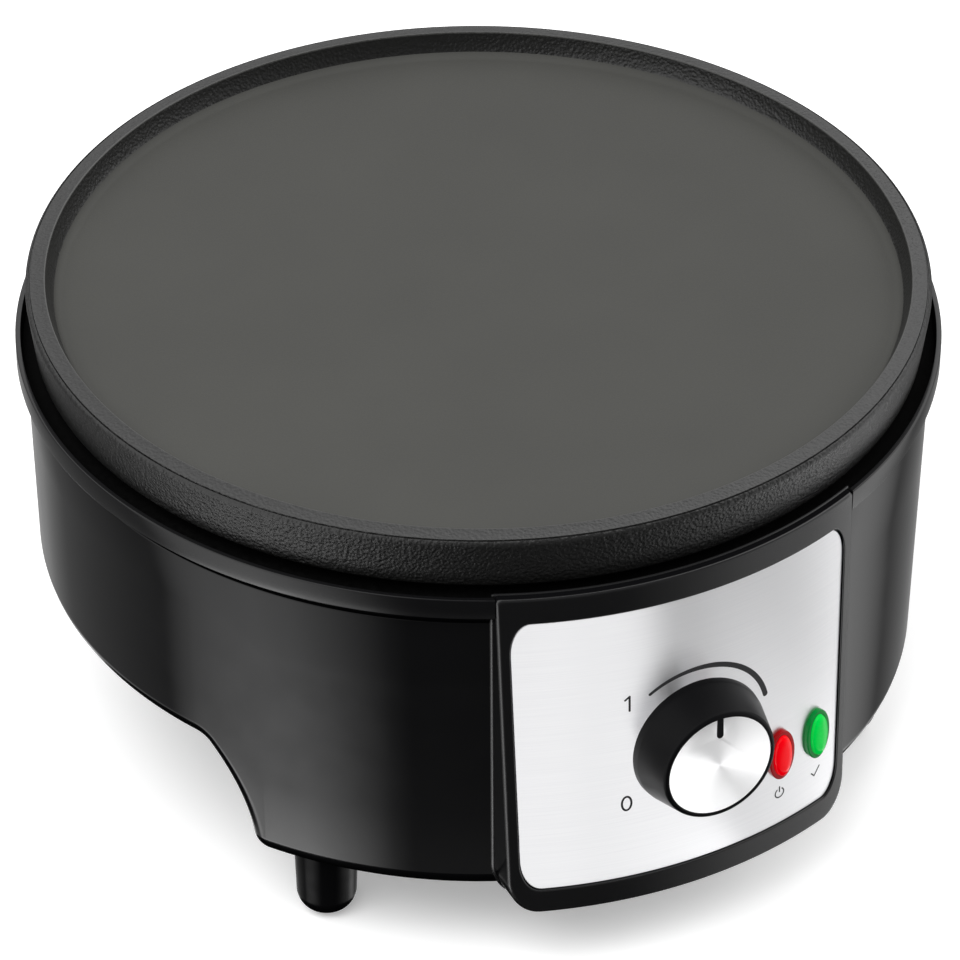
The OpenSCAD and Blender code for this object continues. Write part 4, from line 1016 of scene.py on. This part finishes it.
# name, dark and light colour, roughness, metallic, grain's size (and height), and the nodes
INNER_FINISHES = (
    ("zinc", (0.5, 0.5, 0.48), (0.66, 0.66, 0.63), 0.35, 1.0, 2.0,
     "clamp_screws clip_screws plate_screws ring_screws base_screws panel_screws thermostat_screws "
     "thermostat_spindle knob_spring lens_clips foot_screws earth_screw"),
    ("sheet_steel", (0.5, 0.51, 0.52), (0.62, 0.63, 0.64), 0.4, 1.0, 6.0,
     "element_clamps bulb_clip fuse_clip heat_shield element_tabs thermostat_tabs"),
    ("cover_black", grey(0.014), grey(0.022), 0.5, 0.0, 1.2, 0.03, "base_cover gland_nut"),
    ("sheath", (0.12, 0.12, 0.13), (0.22, 0.21, 0.21), 0.45, 1.0, 5.0, "heating_element"),
    ("ceramic", (0.72, 0.7, 0.64), (0.82, 0.8, 0.74), 0.5, 0.0, 2.0,
     "element_insulators thermal_fuse insulating_washers"),
    ("copper", (0.6, 0.3, 0.18), (0.75, 0.42, 0.28), 0.35, 1.0, 3.0, "sensing_bulb capillary_tube"),
    ("brass", (0.6, 0.48, 0.22), (0.75, 0.62, 0.32), 0.35, 1.0, 3.0, "earth_tab terminal_screws"),
    ("phenolic", (0.5, 0.46, 0.38), (0.62, 0.58, 0.5), 0.5, 0.0, 2.0, "thermostat_body"),
    ("nylon", (0.75, 0.74, 0.7), (0.85, 0.84, 0.8), 0.45, 0.0, 2.0, "terminal_block"),
    ("lamp_glass", (0.8, 0.6, 0.35), (0.9, 0.7, 0.45), 0.15, 0.0, 2.0, "neon_lamps"),
    ("brown_sleeve", (0.10, 0.05, 0.03), (0.16, 0.09, 0.05), 0.5, 0.0, 1.0, "supply_leads"),
    ("white_sleeve", (0.7, 0.68, 0.62), (0.8, 0.78, 0.72), 0.6, 0.0, 0.8, "heater_leads"),
    ("red_sleeve", (0.5, 0.04, 0.03), (0.62, 0.07, 0.05), 0.5, 0.0, 1.0, "lamp_leads"),
)


def dress_inner_nodes():
    """Procedural finishes for the CAD nodes that stay as they are."""
    for *finish, names in INNER_FINISHES:
        material = plain_finish(*finish)
        for name in names.split():
            for slot in nodes[name].material_slots:
                slot.material = material


# -------- the object

finish_piece(griddle(), "cast_griddle", [CAST, CREST, COOKING], "griddle_plate")
finish_piece(top_ring(), "black_satin", [SATIN, TRAY], "top_ring")
finish_piece(housing_wall(), "black_housing", [GLOSS], "body_shell")
for azimuth, node in zip(FOOT_AZIMUTHS, ("front_left_foot", "front_right_foot", "rear_foot")):
    peg = foot(azimuth, node.replace("foot", "peg"))
    finish_piece(peg, "black_housing", [FOOT], node)
pads = join("rubber_pads", [foot_pad(azimuth) for azimuth in FOOT_AZIMUTHS])
finish_piece(pads, "rubber_pad", [RUBBER], "foot_pads")
finish_piece(panel_frame(), "black_satin", [FRAME, FRAME_EDGE_HIGHLIGHT, FRAME_SIDE_SHADE], "panel_frame")
sheet = fascia()
finish_piece(sheet, "brushed_fascia", [STEEL], "panel_fascia")
finish_piece(printing(), "black_satin", [INK])
grip, knob_face, pointer = knob()
finish_piece(grip, "black_satin", [GRIP], "knob_grip", body="knob")
grip.visible_glossy = False     # so that the brushed sheet doesn't mirror it
finish_piece(knob_face, "spun_aluminium", [SPUN], "knob_disc", body="knob")
finish_piece(pointer, "black_satin", [GRIP], "knob_pointer", body="knob")
finish_piece(lens("lens_red", RED_AZ), "red_lens", [RED_FLANGE, RED], "red_lens")
finish_piece(lens("lens_green", GREEN_AZ), "green_lens", [GREEN_FLANGE, GREEN], "green_lens")
finish_piece(gland(), "black_nylon", [SATIN], "cord_gland")
dress_inner_nodes()


# -------- floor, light and camera, in metres

WHITE = (1, 1, 1, 1)
FLOOR_SIZE = 30
FLOOR_GLOW = 0.29
LIGHT_AIM = Vector((0, 0, 0.1))
CARD_NEAR = 0.05
CARD_FAR = 1.15
CARD_Z = 0.002
# strength of the soft light from the horizon and from above, and the heights where it changes
SKY = (0.08, 1.25)
SKY_HEIGHTS = (-0.05, 0.9)
# brightness of the studio in gloss, over the azimuth: near the horizon and higher up
LOW_STOPS = ((-180, 0.42), (-162, 0.22), (-135, 0.18), (-116, 0.13), (-106, 0.66), (-98, 0.9),
             (-84, 1.15), (-74, 1.05), (-62, 0.62), (-49, 0.13), (-44, 0.05), (10, 0.05), (25, 0.2),
             (40, 0.5), (52, 0.6), (66, 0.66), (76, 1.15), (85, 1.12), (90, 0.93), (102, 0.42),
             (109, 0.15), (120, 0.22), (150, 0.35), (180, 0.42))
HIGH_STOPS = ((-180, 0.85), (-130, 0.7), (-80, 1.0), (-55, 0.5), (-40, 0.1), (45, 0.1), (70, 0.6),
              (95, 1.2), (135, 1.3), (152, 1.0), (180, 0.85))
LIFT_HEIGHTS = (0.1, 0.4)       # where the first gives way to the second
# and over the height: dark nearly straight below, behind a bright line for the rolled lower edges
DEPTH_STOPS = ((-1, 0.0), (-0.8, 0.02), (-0.735, 0.1), (-0.715, 4.0), (-0.69, 2.4), (-0.67, 1.0),
               (1, 1.0))
CAMERA_AZIMUTH = -26.6
CAMERA_ELEVATION = 37.02
CAMERA_DISTANCE = 2.0
CAMERA_ROLL = 0.21
CAMERA_TARGET = Vector((0.67, AXIS_Y - 0.34, 91.7)) * MM
FOCAL_LENGTH = 206.25
SENSOR_WIDTH = 36


def direction(azimuth, elevation):
    """Unit vector away from the object; the azimuth is in degrees from the front towards +X."""
    a = radians(azimuth)
    e = radians(elevation)
    return Vector((sin(a) * cos(e), -cos(a) * cos(e), sin(e)))


def set_camera():
    """The photograph's viewpoint."""
    back = direction(CAMERA_AZIMUTH, CAMERA_ELEVATION)
    data = bpy.data.cameras.new("camera")
    data.lens = FOCAL_LENGTH
    data.sensor_width = SENSOR_WIDTH
    data.clip_end = 50
    camera = put("camera", data)
    camera.location = CAMERA_TARGET + back * CAMERA_DISTANCE
    camera.rotation_mode = "QUATERNION"
    roll = Matrix.Rotation(radians(CAMERA_ROLL), 4, "Z").to_quaternion()
    camera.rotation_quaternion = (-back).to_track_quat("-Z", "Y") @ roll
    bpy.context.scene.camera = camera


def white_floor():
    """A white floor that gloss doesn't mirror."""
    bpy.ops.mesh.primitive_plane_add(size=FLOOR_SIZE)
    floor = bpy.context.object
    floor.name = "studio_floor"
    paper = new_material("floor_paint", grey(0.95), 0.9, specular=0.0,
                         Emission_Color=WHITE, Emission_Strength=FLOOR_GLOW)
    floor.data.materials.append(paper)
    floor.visible_glossy = False
    floor.visible_diffuse = False


def area_light(name, width, height, power):
    """A rectangular light."""
    data = bpy.data.lights.new(name, "AREA")
    data.shape = "RECTANGLE"
    data.size = width
    data.size_y = height
    data.energy = power
    return put(name, data)


def softbox(name, azimuth, elevation, distance, width, height, power):
    """A soft light aimed at the object's middle; gloss mirrors the studio and not this light."""
    light = area_light(name, width, height, power)
    out = direction(azimuth, elevation)
    light.location = LIGHT_AIM + out * distance
    light.rotation_mode = "QUATERNION"
    light.rotation_quaternion = out.to_track_quat("Z", "Y")
    light.visible_glossy = False


def panel_card(name, left, right, brightness, lit):
    """A white card on the floor in front of the panel, which only the pieces in lit mirror."""
    width = right - left
    depth = CARD_FAR - CARD_NEAR
    card = area_light(name, width, depth, pi * width * depth * brightness)
    card.location = ((left + right) / 2, -(CARD_NEAR + CARD_FAR) / 2, CARD_Z)
    card.rotation_euler = (pi, 0, 0)
    card.visible_camera = False
    pieces = bpy.data.collections.new(name)
    for piece in lit:
        pieces.objects.link(piece)
    card.light_linking.receiver_collection = pieces
    card.light_linking.blocker_collection = pieces


def studio_world():
    """White for the camera and soft white for matte surfaces, lit from above; gloss sees a white
    studio with dark screens."""
    world = bpy.data.worlds.new("studio")
    bpy.context.scene.world = world
    world.use_nodes = True
    tree = world.node_tree
    tree.nodes.clear()
    new = tree.nodes.new
    link = tree.links.new
    coordinates = new("ShaderNodeTexCoord")
    split = new("ShaderNodeSeparateXYZ")
    link(coordinates.outputs["Generated"], split.inputs["Vector"])
    z = split.outputs["Z"]

    # azimuth as 0..1: 0.5 is the front (-Y) and it grows towards +X
    forward = new("ShaderNodeMath")
    forward.operation = "MULTIPLY"
    forward.inputs[1].default_value = -1
    link(split.outputs["Y"], forward.inputs[0])
    azimuth = new("ShaderNodeMath")
    azimuth.operation = "ARCTAN2"
    link(split.outputs["X"], azimuth.inputs[0])
    link(forward.outputs[0], azimuth.inputs[1])
    turn = remap(tree, azimuth.outputs[0], (-pi, pi))

    def grey_stops(stops, lowest, span):
        """Ramp stops from (place, brightness), with the places carried to 0..1."""
        return [((place - lowest) / span, grey(level)) for place, level in stops]

    def mix(kind, first, second):
        """Two colours mixed; the factor is set by the caller."""
        node = new("ShaderNodeMix")
        node.data_type = "RGBA"
        node.blend_type = kind
        link(first, node.inputs["A"])
        link(second, node.inputs["B"])
        return node

    low = ramp(tree, turn, grey_stops(LOW_STOPS, -180, 360))
    high = ramp(tree, turn, grey_stops(HIGH_STOPS, -180, 360))
    blend = mix("MIX", low, high)
    link(remap(tree, z, LIFT_HEIGHTS), blend.inputs["Factor"])
    depth = ramp(tree, remap(tree, z, (-1, 1)), grey_stops(DEPTH_STOPS, -1, 2))
    shade = mix("MULTIPLY", blend.outputs["Result"], depth)
    shade.inputs["Factor"].default_value = 1

    rays = new("ShaderNodeLightPath")
    soft = new("ShaderNodeBackground")
    soft.inputs["Color"].default_value = WHITE
    link(remap(tree, z, SKY_HEIGHTS, *SKY), soft.inputs["Strength"])
    gloss = new("ShaderNodeBackground")
    link(shade.outputs["Result"], gloss.inputs["Color"])
    white = new("ShaderNodeBackground")
    white.inputs["Color"].default_value = WHITE

    def choose(ray, other, wanted):
        """One shader for the rays of a kind, and another for the rest."""
        node = new("ShaderNodeMixShader")
        link(rays.outputs[ray], node.inputs["Fac"])
        link(other, node.inputs[1])
        link(wanted, node.inputs[2])
        return node.outputs[0]

    for_gloss = choose("Is Glossy Ray", soft.outputs[0], gloss.outputs[0])
    output = new("ShaderNodeOutputWorld")
    link(choose("Is Camera Ray", for_gloss, white.outputs[0]), output.inputs["Surface"])


set_camera()
white_floor()
studio_world()
softbox("key_light", azimuth=-60, elevation=55, distance=2.2, width=1.6, height=1.2, power=26)
softbox("fill_light", azimuth=55, elevation=35, distance=2.4, width=1.2, height=1.2, power=14)
panel_card("left_card", left=-0.5, right=0.05, brightness=1.05, lit=(sheet, knob_face))
panel_card("middle_card", left=0.05, right=0.16, brightness=0.36, lit=(sheet, knob_face))
panel_card("knob_card", left=-0.3, right=0.3, brightness=0.25, lit=(knob_face,))
bpy.context.scene.view_settings.view_transform = "Standard"
bpy.context.scene.view_settings.look = "None"
